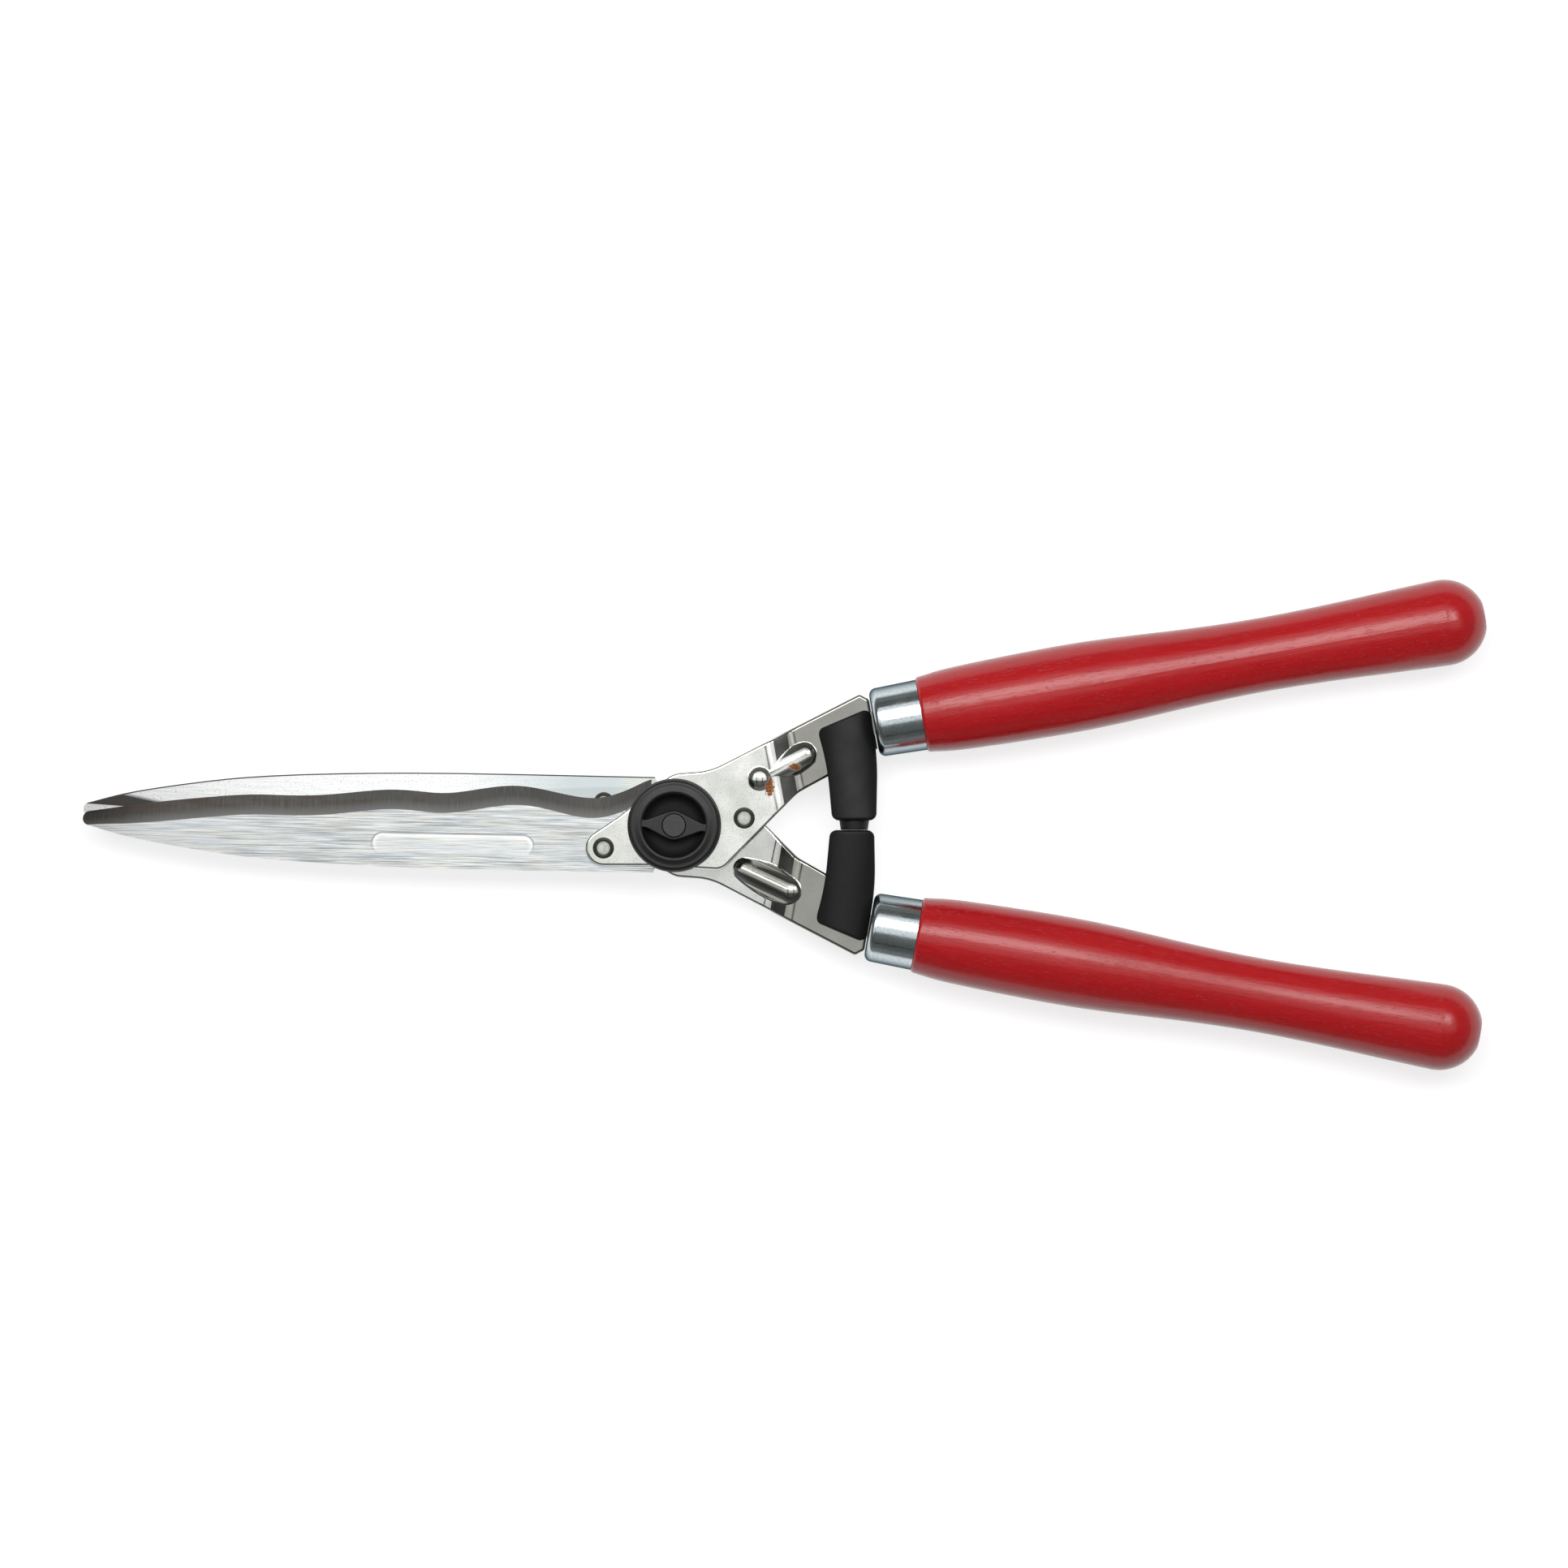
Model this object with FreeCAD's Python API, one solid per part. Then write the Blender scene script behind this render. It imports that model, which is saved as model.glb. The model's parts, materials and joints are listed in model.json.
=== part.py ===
import FreeCAD, Part
import math
import os

# Hedge shears with wavy blades, wooden handles and an adjusting knob at the pivot.
# Millimetres. While modelling, the pivot axis is Z through the origin and the blades meet at z = 0.
# An arm is modelled as the front one: blade towards -X with its cutting edge up, handle towards +X
# and up. The rear arm is the same arm turned half a turn about X.
# The finished model stands with the centre of its box's bottom face at the origin.

V = FreeCAD.Vector
X_AXIS = V(1, 0, 0)
Y_AXIS = V(0, 1, 0)
Z_AXIS = V(0, 0, 1)

# Fits and clearances
BLADE_GAP = 0.1            # between the two blades' inner faces
PRESS_CLEARANCE = 0.02     # a side, in fits that don't move
RUNNING_CLEARANCE = 0.05   # a side, where something turns
STOP_GAP = 0.1             # between the buffer and the shoe that it meets
CUT_OVERRUN = 2.0          # by how much a cut runs past what it cuts

# Blades
BLADE_LENGTH = 227.4       # pivot axis to tip
BLADE_HALF_DEPTH = 18.5    # centre line to spine
BLADE_THICKNESS = 3.7
BLADE_LEAN = 1.15          # degrees, both blades to the upper handle's side of the centre line
EDGE_THICKNESS = 0.25
SPINE_CHAMFER = 0.5        # along the spine, on the inner face
BEVEL_WIDTH = 7.7
NOSE_BULGE_SHARE = 0.88    # bulge of the rounded nose, of its half width
HEEL_REACH = 17.6          # the hollow grinding starts this far from the pivot
HUB_RADIUS = 15.0          # full-thickness disc round the pivot
HOLLOW_RADIUS = 300.0      # grinding wheel of the hollow inner face
HOLLOW_DEPTH = 0.35        # at the heel, fading out towards the tip
HOLLOW_END_SHARE = 0.8     # of the blade's length, where it has faded out
FIELD_LENGTH = 61.7        # shallow stamped oblong on the outer face, left bare
FIELD_WIDTH = 7.6
FIELD_DEPTH = 0.12
FIELD_REACH = 85.0         # pivot to the middle of the oblong
FIELD_DROP = 9.0           # below the blade's centre line
FIELD_ROUND_SHARE = 0.98   # radius of its round ends, of its half width

# Spine, from the heel to the nose, as shares of length and half depth
SPINE_SHARES = [(0.035, 0.995), (0.26, 1.0), (0.48, 0.978), (0.674, 0.876), (0.784, 0.742),
                (0.866, 0.59), (0.921, 0.464), (0.957, 0.354), (0.989, 0.24)]
# Cutting edge, from the nose to the heel: length, height over the centre line, bevel width
EDGE_SHARES = [(0.990, 0.054, 0.69), (0.937, 0.157, 0.85), (0.862, 0.292, 1.0), (0.756, 0.432, 1.0),
               (0.69, 0.468, 1.0), (0.624, 0.466, 1.0), (0.558, 0.532, 1.0), (0.493, 0.617, 0.98),
               (0.44, 0.608, 0.98), (0.387, 0.575, 1.0), (0.33, 0.673, 1.0), (0.272, 0.755, 0.96),
               (0.214, 0.668, 0.94), (0.148, 0.532, 1.0), (0.0985, 0.629, 1.0), (0.066, 0.805, 1.0),
               (0.04, 0.945, 1.0)]
BEVEL_NOSE_SHARE = (1.03, -0.08, 0.69)    # where the bevel's surface runs on past the nose
FLAT_SHARE = 0.1                          # a face with less of its normal along Z stands upright
BEVEL_OVERRUN_SHARE = 0.4                 # of its width, on both sides

# Rivets that hold the blade on the bracket, and their countersinks
LOBE_RIVET_REACH = 27.2    # from the pivot, towards the tip
LOBE_RIVET_DROP = 8.7
TANG_RIVET_REACH = 26.8    # from the pivot, towards the handle
TANG_RIVET_RISE = 2.8
RIVET_RADIUS = 2.55
SINK_RADIUS = 4.1
SINK_DEPTH = 1.5
RIVET_WAIST_SHARE = 0.55   # how deep in the sink the rivet's skirt ends
TANG_MARGIN = 4.3          # blade round the tang rivet

# Bracket
PLATE_THICKNESS = 2.5
PLATE_EDGE_RADIUS = 1.1
LOBE_RADIUS = 7.0
LOBE_MARGIN = 6.9          # plate below the lobe's rivet
LOBE_EDGE_ANGLE = 34.0     # of the lobe's upper edge, degrees
BRACKET_END_GAP = 0.3      # plate end to ferrule
END_HALF_WIDTH = 10.0      # of the plate's end, across the handle's axis
END_CHAMFER = 3.2          # its length along the handle
END_CHAMFER_SHARES = (0.6, -0.2)    # how far its two corners stand off the half width
END_CORNER_RADIUS = 1.6
JOGGLE_MIDDLE = 45.3       # along the handle's axis, from the foot of the pivot
JOGGLE_ANGLE = 26.0        # degrees
JOGGLE_RADIUS = 11.0       # bend radius at the plate's mid surface
# Corners between the lobe and the end, upper edge then lower edge: x, y and corner radius,
# as shares of the bracket's reach
UPPER_EDGE_SHARES = [(-0.254, 0.051, 0.7), (-0.008, 0.247, 0.12), (0.168, 0.26, 0.3)]
LOWER_EDGE_SHARES = [(0.584, 0.152, 0.16), (0.225, -0.213, 0.075), (-0.099, -0.193, 0.5)]
BEAD_RADIUS = 6.6          # of the ridge's skin
BEAD_LENGTH = 19.5         # between the centres of its round ends
BEAD_BLEND_RADIUS = 1.0    # where the ridge rises from the plate
DOME_HEIGHT = 1.7          # of the front bead's round end, over the pivot's side of the plate
# A bead's middle, along X and Y from the pivot, its angle in degrees, and the heights of the
# ridge's crest over the handle's plane, at the pivot's end and at the handle's end. The front
# bead is pressed outwards, the rear one towards the other arm.
FRONT_BEAD = (41.3, 22.55, 28.0, 7.0, 3.2)
REAR_BEAD = (35.9, 21.2, 25.0, 2.1, -2.6)
TANG_WIDTH = 9.0           # tang that runs into the handle
TANG_LENGTH = 58.0
FINGER_WIDTH = 8.0         # finger that carries the stop shoe
FINGER_END = 9.0           # the finger stops this far above the centre line

# Stop shoes and rubber buffer
SHOE_GAP = 3.75            # between the two closed shoes
SHOE_HALF_WIDTH = 8.5
FRONT_SHOE_OVERHANG = 0.95    # past the middle of the ferrule's front, along X
REAR_SHOE_OVERHANG = 1.9
SHOE_TOP = 45.4            # outer corner over the centre line
SHOE_FERRULE_GAP = 0.2
SHOE_TOP_SLOPE = 23.0      # degrees
SHOE_BELLY = 0.9           # how far the sides bow towards the handle
SHOE_BOW_RADIUS = 90.0     # of the bowed sides
SHOE_FLARE = 5.8           # how much wider the outer end is, on the pivot's side
SHOE_CORNER_RADIUS = 2.8
SHOE_HALF_HEIGHT = 7.5     # at the meeting end
SHOE_THIN_HALF_HEIGHT = 4.8
SHOE_CROWN_RADIUS = 16.0
SHOE_EDGE_RADIUS = 1.2
BUFFER_RADIUS = 5.75
BUFFER_TIP_RADIUS = 5.2
BUFFER_STEM_RADIUS = 3.5
BUFFER_STEM_LENGTH = 5.5
BUFFER_EDGE_RADIUS = 0.4

# Handles and ferrules
HANDLE_ANGLE = 10.0        # degrees from the centre line
HANDLE_OFFSET = 25.35      # pivot to the handle's axis
FRONT_HANDLE_SHIFT = 0.9   # along the axis, from the mean of the two handles
REAR_HANDLE_SHIFT = -0.9
FERRULE_START = 81.4       # along the handle's axis, from the foot of the pivot
FERRULE_LENGTH = 18.4
FERRULE_RADIUS = 13.2
FERRULE_MOUTH_RADIUS = 13.7
FERRULE_WALL = 1.2
FERRULE_CORNER_RADIUS = 2.8
HANDLE_LENGTH = 219.7      # visible wood
HANDLE_RADIUS = 17.0
HANDLE_END_RADIUS = 16.6   # of the ball at the end
HANDLE_FLAT_RADIUS = 5.9   # flat disc on the ball
SHOULDER_RADIUS = 1.2      # rounded front edge of the wood
SHOULDER_BULGE_SHARE = 0.15    # how far the edge stands out of its chord, of the radius
# The turned profile behind the front edge: length, radius
HANDLE_SHARES = [(0.0055, 0.862), (0.036, 0.912), (0.094, 0.959), (0.238, 1.0), (0.354, 0.968),
                 (0.469, 0.885), (0.584, 0.835), (0.7, 0.853), (0.815, 0.915)]

# Pivot bolt, bush, washers and spring
SHANK_RADIUS = 5.0
FLAT_HALF_WIDTH = 4.0      # across the shank's two flats
THREAD_RADIUS = 4.0
THREAD_TIP_RADIUS = 0.5
BUSH_WALL = 1.5
HEAD_RADIUS = 9.0
HEAD_HEIGHT = 3.6
HEAD_EDGE_RADIUS = 1.4
FRICTION_WASHER_RADIUS = 10.5
FRICTION_WASHER_THICKNESS = 0.8
SPRING_RADIUS = 10.0
SPRING_THICKNESS = 1.0
SPRING_CONE = 0.6
SPRING_CLEARANCE = 0.1     # a side, round the thread
THRUST_WASHER_RADIUS = 9.0
THRUST_WASHER_THICKNESS = 0.8

# Knob
KNOB_RADIUS = 18.0
KNOB_HEIGHT = 14.5
KNOB_FOOT_GAP = 0.5        # over the bracket
KNOB_EDGE_RADIUS = 0.9     # lower outer edge
DISH_DEPTH = 5.4
# The rim, which rises from the knob's side to a lip round the dish. From the side inwards: drop
# below the top, distance from the axis, corner radius
KNOB_RIM = [(0.7, 17.5, 1.6), (0.7, 15.0, 3.0), (0, 12.4, 1.2), (DISH_DEPTH, 10.2, 3.0)]
BAR_HALF_WIDTH = 1.9       # grip bar at its ends
BAR_WAIST = 1.5            # its half width at the waist
BAR_DROP = 0.5             # below the rim
BAR_EDGE_RADIUS = 0.6      # along its top
BOSS_RADIUS = 5.6
BAR_TURN = -4.0            # degrees, as the knob stands in the photograph
BAR_WAIST_SHARE = 0.6      # of the knob's radius, from the middle
BAR_FLARE_SHARES = (0.5, 0.9, 0.5)    # of the boss's radius: length, half width, corner
SPRING_ROOM = 0.6          # between spring and knob, all round
NUT_HALF_WIDTH = 6.5       # across flats, half
NUT_HEIGHT = 5.6
CAP_RADIUS = 4.4
CAP_THICKNESS = 1.6
CAP_GROOVE = 0.3
CAP_EDGE_RADIUS = 0.3
BOLT_TIP_GAP = 0.8         # bolt end to the cap

# Levels of the stack, from the blades' meeting plane upwards
blade_low = BLADE_GAP / 2
blade_high = blade_low + BLADE_THICKNESS
bracket_high = blade_high + PLATE_THICKNESS
bracket_middle = blade_high + PLATE_THICKNESS / 2
spring_high = bracket_high + SPRING_THICKNESS + SPRING_CONE
washer_low = spring_high + RUNNING_CLEARANCE
washer_high = washer_low + THRUST_WASHER_THICKNESS
knob_low = bracket_high + KNOB_FOOT_GAP
knob_high = knob_low + KNOB_HEIGHT
nut_high = washer_high + NUT_HEIGHT
cap_low = knob_high - BAR_DROP - CAP_THICKNESS
head_top = -bracket_high - RUNNING_CLEARANCE - FRICTION_WASHER_THICKNESS

# Lengths along the handle's axis
axis_x = math.cos(math.radians(HANDLE_ANGLE))
axis_y = math.sin(math.radians(HANDLE_ANGLE))


def axis_point(along, across=0.0, z=0.0):
    """A point by its length along the handle's axis and its distance from that axis."""
    side = HANDLE_OFFSET + across
    return V(along * axis_x - side * axis_y, along * axis_y + side * axis_x, z)


def shoe_reach(shift, overhang):
    """The distance along X from the pivot to the middle of a stop shoe."""
    return axis_point(FERRULE_START + shift).x + overhang - SHOE_HALF_WIDTH


def blade_point(length, height, lean, z=0.0):
    """A point of a blade by its distance from the pivot and its height over the centre line."""
    turn = math.radians(lean)
    return V(-length * math.cos(turn) + height * math.sin(turn),
             length * math.sin(turn) + height * math.cos(turn), z)


def rounded_face(corners, origin=V(0, 0, 0), right=X_AXIS, up=Y_AXIS):
    """A flat face from corners (right, up, radius), each corner rounded by its radius."""
    places = [origin + right * x + up * y for x, y, radius in corners]
    edges = []
    ends = []
    for index in range(len(corners)):
        radius = corners[index][2]
        corner = places[index]
        before = places[index - 1] - corner
        after = places[(index + 1) % len(corners)] - corner
        before.normalize()
        after.normalize()
        half = before.getAngle(after) / 2
        start = corner + before * (radius / math.tan(half))
        end = corner + after * (radius / math.tan(half))
        ends.append((start, end))
        if radius > 0:
            bisector = before + after
            bisector.normalize()
            middle = corner + bisector * (radius / math.sin(half) - radius)
            edges.append(Part.Arc(start, middle, end).toShape())
    for index in range(len(corners)):
        edges.append(Part.LineSegment(ends[index - 1][1], ends[index][0]).toShape())
    return Part.Face(Part.Wire(Part.__sortEdges__(edges)))


def prism(corners, low, high):
    """A rounded outline, extruded between two levels."""
    return rounded_face(corners, V(0, 0, low)).extrude(V(0, 0, high - low))


def cylinder(radius, low, high, centre=V(0, 0, 0)):
    """An upright cylinder between two levels."""
    return Part.makeCylinder(radius, high - low, V(centre.x, centre.y, low))


def turned(corners, origin=V(0, 0, 0), direction=Z_AXIS, across=X_AXIS):
    """A solid of revolution from rounded corners (length, distance from the axis, radius)."""
    face = rounded_face(corners, origin, direction, across)
    return face.revolve(origin, direction, 360)


def smooth_curve(points):
    """One smooth edge through all the points, with even steps between them."""
    curve = Part.BSplineCurve()
    curve.interpolate(Points=points, Parameters=[float(step) for step in range(len(points))])
    return curve.toShape()


def tang_corners():
    """Outline of the blade's tang, from the pivot to round its rivet."""
    far = TANG_RIVET_REACH + TANG_MARGIN
    return [(0, HUB_RADIUS, 0), (far, TANG_RIVET_RISE + TANG_MARGIN, TANG_MARGIN),
            (far, TANG_RIVET_RISE - TANG_MARGIN, TANG_MARGIN), (0, -HUB_RADIUS, 0)]


def rivet_places():
    """The two rivets' centres."""
    return [V(-LOBE_RIVET_REACH, -LOBE_RIVET_DROP, 0), V(TANG_RIVET_REACH, TANG_RIVET_RISE, 0)]


def rivet_hole(place, sink_level, sink_direction):
    """A rivet's hole through blade and bracket, with a countersink at one face."""
    hole = cylinder(RIVET_RADIUS + PRESS_CLEARANCE, blade_low - CUT_OVERRUN,
                    bracket_high + CUT_OVERRUN, place)
    sink = Part.makeCone(SINK_RADIUS, RIVET_RADIUS, SINK_DEPTH, V(place.x, place.y, sink_level),
                         V(0, 0, sink_direction))
    return hole.fuse(sink)


def pivot_slot(low, high):
    """The hole with two flats that keys the front arm to the bolt."""
    hole = cylinder(SHANK_RADIUS + PRESS_CLEARANCE, low, high)
    side = SHANK_RADIUS + CUT_OVERRUN
    half = FLAT_HALF_WIDTH + PRESS_CLEARANCE
    flats = Part.makeBox(2 * side, 2 * half, high - low, V(-side, -half, low))
    return hole.common(flats)


def pivot_hole(keyed):
    """The cut that the pivot makes in a blade or a bracket."""
    low = blade_low - CUT_OVERRUN
    high = bracket_high + CUT_OVERRUN
    if keyed:
        return pivot_slot(low, high)
    return cylinder(SHANK_RADIUS + RUNNING_CLEARANCE + BUSH_WALL + PRESS_CLEARANCE, low, high)


def bevel_cutter(lean):
    """Everything over the bevel that runs along the wavy cutting edge."""
    low_points = []
    high_points = []
    for along, height, width in [BEVEL_NOSE_SHARE] + EDGE_SHARES:
        edge = blade_point(along * BLADE_LENGTH, height * BLADE_HALF_DEPTH, lean,
                           blade_low + EDGE_THICKNESS)
        inner = blade_point(along * BLADE_LENGTH, height * BLADE_HALF_DEPTH - width * BEVEL_WIDTH,
                            lean, blade_high)
        slope = inner - edge
        low_points.append(edge - slope * BEVEL_OVERRUN_SHARE)
        high_points.append(inner + slope * BEVEL_OVERRUN_SHARE)
    surface = Part.makeRuledSurface(smooth_curve(low_points), smooth_curve(high_points))
    return surface.extrude(V(0, 0, BLADE_THICKNESS * 2))


def hollow_cutter(lean):
    """The grinding wheel that hollows the blade's inner face."""
    length = BLADE_LENGTH * HOLLOW_END_SHARE - HEEL_REACH
    tilt = HOLLOW_DEPTH / length
    direction = blade_point(1, 0, lean) - V(0, 0, tilt)
    start = blade_point(HEEL_REACH, 0, lean, blade_low + HOLLOW_DEPTH - HOLLOW_RADIUS)
    return Part.makeCylinder(HOLLOW_RADIUS, length, start, direction)


def make_blade(lean, keyed):
    """One blade with its bevel, hollow face, tang, holes and stamped oblong."""
    edge_points = [blade_point(along * BLADE_LENGTH, height * BLADE_HALF_DEPTH, lean, blade_low)
                   for along, height, width in EDGE_SHARES]
    spine_points = [blade_point(along * BLADE_LENGTH, -height * BLADE_HALF_DEPTH, lean, blade_low)
                    for along, height in SPINE_SHARES]
    spine = smooth_curve(spine_points)
    nose_low = spine_points[-1]
    nose_high = edge_points[0]
    nose_half = (nose_high - nose_low).Length / 2
    bulge = blade_point(nose_half * NOSE_BULGE_SHARE, 0, lean)
    nose_middle = (nose_low + nose_high) / 2 + bulge
    outline = Part.Wire([
        smooth_curve(edge_points),
        Part.LineSegment(edge_points[-1], V(0, 0, blade_low)).toShape(),
        Part.LineSegment(V(0, 0, blade_low), spine_points[0]).toShape(),
        spine,
        Part.Arc(nose_low, nose_middle, nose_high).toShape()])
    blade = Part.Face(outline).extrude(V(0, 0, BLADE_THICKNESS))
    inner_edges = [edge for edge in blade.Edges
                   if edge.valueAt(edge.FirstParameter).isEqual(spine_points[0], PRESS_CLEARANCE)
                   and edge.valueAt(edge.LastParameter).isEqual(spine_points[-1], PRESS_CLEARANCE)]
    blade = blade.makeChamfer(SPINE_CHAMFER, inner_edges)
    blade = blade.cut(bevel_cutter(lean))
    blade = blade.fuse(cylinder(HUB_RADIUS, blade_low, blade_high))
    blade = blade.fuse(prism(tang_corners(), blade_low, blade_high)).removeSplitter()
    blade = blade.cut(hollow_cutter(lean))
    blade = blade.cut(pivot_hole(keyed))
    for place in rivet_places():
        blade = blade.cut(rivet_hole(place, blade_low, 1))
    half_length = FIELD_LENGTH / 2
    half_width = FIELD_WIDTH / 2
    corners = []
    for along, across in [(-1, -1), (1, -1), (1, 1), (-1, 1)]:
        point = blade_point(FIELD_REACH + along * half_length, across * half_width - FIELD_DROP, lean)
        corners.append((point.x, point.y, half_width * FIELD_ROUND_SHARE))
    return blade.cut(prism(corners, blade_high - FIELD_DEPTH, blade_high + CUT_OVERRUN))


def plate_corners(shift, overrun):
    """Outline of the bracket seen from above, without its tang and finger."""
    end = FERRULE_START - BRACKET_END_GAP + shift + overrun
    reach = FERRULE_START - BRACKET_END_GAP
    lobe_x = -LOBE_RIVET_REACH - LOBE_RADIUS / math.tan(math.radians(LOBE_EDGE_ANGLE / 2))
    corners = [(lobe_x, -LOBE_RIVET_DROP - LOBE_MARGIN, LOBE_RADIUS)]
    for x, y, radius in UPPER_EDGE_SHARES:
        corners.append((x * reach, y * reach, radius * reach))
    for along, share in zip((end - END_CHAMFER, end), END_CHAMFER_SHARES):
        point = axis_point(along, END_HALF_WIDTH + END_CHAMFER * share)
        corners.append((point.x, point.y, END_CORNER_RADIUS))
    point = axis_point(end, -END_HALF_WIDTH)
    corners.append((point.x, point.y, 0))
    for x, y, radius in LOWER_EDGE_SHARES:
        corners.append((x * reach, y * reach, radius * reach))
    return corners


def joggle_bends():
    """Where the joggle's two bends start and end along the handle's axis."""
    angle = math.radians(JOGGLE_ANGLE)
    ramp = (bracket_middle - 2 * JOGGLE_RADIUS * (1 - math.cos(angle))) / math.sin(angle)
    length = 2 * JOGGLE_RADIUS * math.sin(angle) + ramp * math.cos(angle)
    return JOGGLE_MIDDLE - length / 2, JOGGLE_MIDDLE + length / 2


def joggle_side(offset):
    """One side of the joggled plate as edges, from the pivot's end to the handle's end."""
    angle = math.radians(JOGGLE_ANGLE)
    first, second = joggle_bends()
    across = -HANDLE_OFFSET - FERRULE_START
    far = FERRULE_START * 2

    def place(along, z):
        return axis_point(along, across, z)

    def bend(centre_along, centre_z, radius, sign):
        places = []
        for turn in (0, angle / 2, angle):
            places.append(place(centre_along + sign * radius * math.sin(turn),
                                centre_z + sign * radius * math.cos(turn)))
        return places

    upper = bend(first, bracket_middle - JOGGLE_RADIUS, JOGGLE_RADIUS + offset, 1)
    lower = bend(second, JOGGLE_RADIUS, JOGGLE_RADIUS - offset, -1)
    return [Part.LineSegment(place(-far, bracket_middle + offset), upper[0]).toShape(),
            Part.Arc(upper[0], upper[1], upper[2]).toShape(),
            Part.LineSegment(upper[2], lower[2]).toShape(),
            Part.Arc(lower[2], lower[1], lower[0]).toShape(),
            Part.LineSegment(lower[0], place(far, offset)).toShape()]


def joggle_region(low_offset, high_offset):
    """All space between two sides of the joggled plate."""
    low = joggle_side(low_offset)
    high = joggle_side(high_offset)
    ends = [Part.LineSegment(low[0].Vertexes[0].Point, high[0].Vertexes[0].Point).toShape(),
            Part.LineSegment(low[-1].Vertexes[-1].Point, high[-1].Vertexes[-1].Point).toShape()]
    face = Part.Face(Part.Wire(Part.__sortEdges__(low + high + ends)))
    return face.extrude((axis_point(0, 1) - axis_point(0, 0)) * FERRULE_START * 3)


def capsule(start, end, radius):
    """A round bar with ball ends."""
    bar = Part.makeCylinder(radius, (end - start).Length, start, end - start)
    return bar.fuse([Part.makeSphere(radius, start), Part.makeSphere(radius, end)])


def bead_form(front, radius):
    """The rounded form that is pressed into the bracket, or its inner skin."""
    x, y, angle, start_crest, end_crest = FRONT_BEAD if front else REAR_BEAD
    turn = math.radians(angle)
    half = V(math.cos(turn), math.sin(turn), 0) * (BEAD_LENGTH / 2)
    depth = -BEAD_RADIUS if front else BEAD_RADIUS
    start = V(x, y, start_crest + depth) - half
    form = capsule(start, V(x, y, end_crest + depth) + half, radius)
    if front:
        dome = V(start.x, start.y, bracket_high + DOME_HEIGHT - BEAD_RADIUS)
        form = form.fuse(Part.makeSphere(radius, dome))
    return form


def stretch(start, end, half_width, low, high):
    """A bar along the handle's axis between two levels."""
    corners = []
    places = [(start, -half_width), (end, -half_width), (end, half_width), (start, half_width)]
    for along, across in places:
        point = axis_point(along, across)
        corners.append((point.x, point.y, 0))
    return prism(corners, low, high)


def handle_tang(shift, clearance):
    """The bracket's tang in the handle, or the slot for it."""
    half = PLATE_THICKNESS / 2 + clearance
    start = FERRULE_START - BRACKET_END_GAP * 2 + shift
    end = FERRULE_START + TANG_LENGTH + shift + clearance
    return stretch(start, end, TANG_WIDTH / 2 + clearance, -half, half)


def plate_finger(reach):
    """The finger of the bracket that carries the stop shoe."""
    return Part.makeBox(FINGER_WIDTH, HANDLE_OFFSET - FINGER_END, PLATE_THICKNESS,
                        V(reach - FINGER_WIDTH / 2, FINGER_END, -PLATE_THICKNESS / 2))


def outline_edges(plate):
    """The edges that run round a plate's two broad sides."""
    edges = []
    for edge in plate.Edges:
        upright = 0
        for face in plate.ancestorsOfType(edge, Part.Face):
            low_u, high_u, low_v, high_v = face.ParameterRange
            normal = face.normalAt((low_u + high_u) / 2, (low_v + high_v) / 2)
            if abs(normal.z) < FLAT_SHARE:
                upright += 1
        if upright == 1:
            edges.append(edge)
    return edges


def seam_edges(shape, radius):
    """The edges where a capsule's skin meets the plate's broad sides."""
    edges = []
    for edge in shape.Edges:
        skins = 0
        for face in shape.ancestorsOfType(edge, Part.Face):
            round_face = isinstance(face.Surface, (Part.Cylinder, Part.Sphere))
            if round_face and abs(face.Surface.Radius - radius) < PRESS_CLEARANCE:
                skins += 1
        if skins == 1:
            edges.append(edge)
    return edges


def make_bracket(shift, front, reach):
    """The joggled plate with its bead, tang, finger and holes."""
    low = -PLATE_THICKNESS * 2
    high = bracket_high + PLATE_THICKNESS * 2
    half = PLATE_THICKNESS / 2
    plate = prism(plate_corners(shift, 0), low, high)
    plate = plate.common(joggle_region(-half, half))
    plate = plate.makeFillet(PLATE_EDGE_RADIUS, outline_edges(plate))
    if front:
        outer_side = joggle_region(-half, PLATE_THICKNESS * 4)
    else:
        outer_side = joggle_region(-PLATE_THICKNESS * 4, half)
    ridge = bead_form(front, BEAD_RADIUS).common(outer_side)
    bracket = plate.fuse(ridge)
    bracket = bracket.makeFillet(BEAD_BLEND_RADIUS, seam_edges(bracket, BEAD_RADIUS))
    bracket = bracket.cut(bead_form(front, BEAD_RADIUS - PLATE_THICKNESS))
    bracket = bracket.fuse([plate_finger(reach), handle_tang(shift, 0)])
    bracket = bracket.cut(pivot_hole(front))
    for place in rivet_places():
        bracket = bracket.cut(rivet_hole(place, bracket_high, -1))
    return bracket.removeSplitter()


def make_rivets():
    """Both rivets, flush at both faces, each with a skirt deep in its countersinks."""
    rivets = []
    flush = PRESS_CLEARANCE * 2
    low = blade_low + flush
    high = bracket_high - flush
    skirt = RIVET_RADIUS + (SINK_RADIUS - RIVET_RADIUS) * (1 - RIVET_WAIST_SHARE) - flush
    depth = SINK_DEPTH * RIVET_WAIST_SHARE
    root = SINK_DEPTH - flush
    for place in rivet_places():
        corners = [(low, 0, 0), (low, RIVET_RADIUS, 0), (blade_low + depth, skirt, 0),
                   (blade_low + root, RIVET_RADIUS, 0), (bracket_high - root, RIVET_RADIUS, 0),
                   (bracket_high - depth, skirt, 0), (high, RIVET_RADIUS, 0), (high, 0, 0)]
        rivets.append(turned(corners, place))
    return Part.Compound(rivets)


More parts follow.
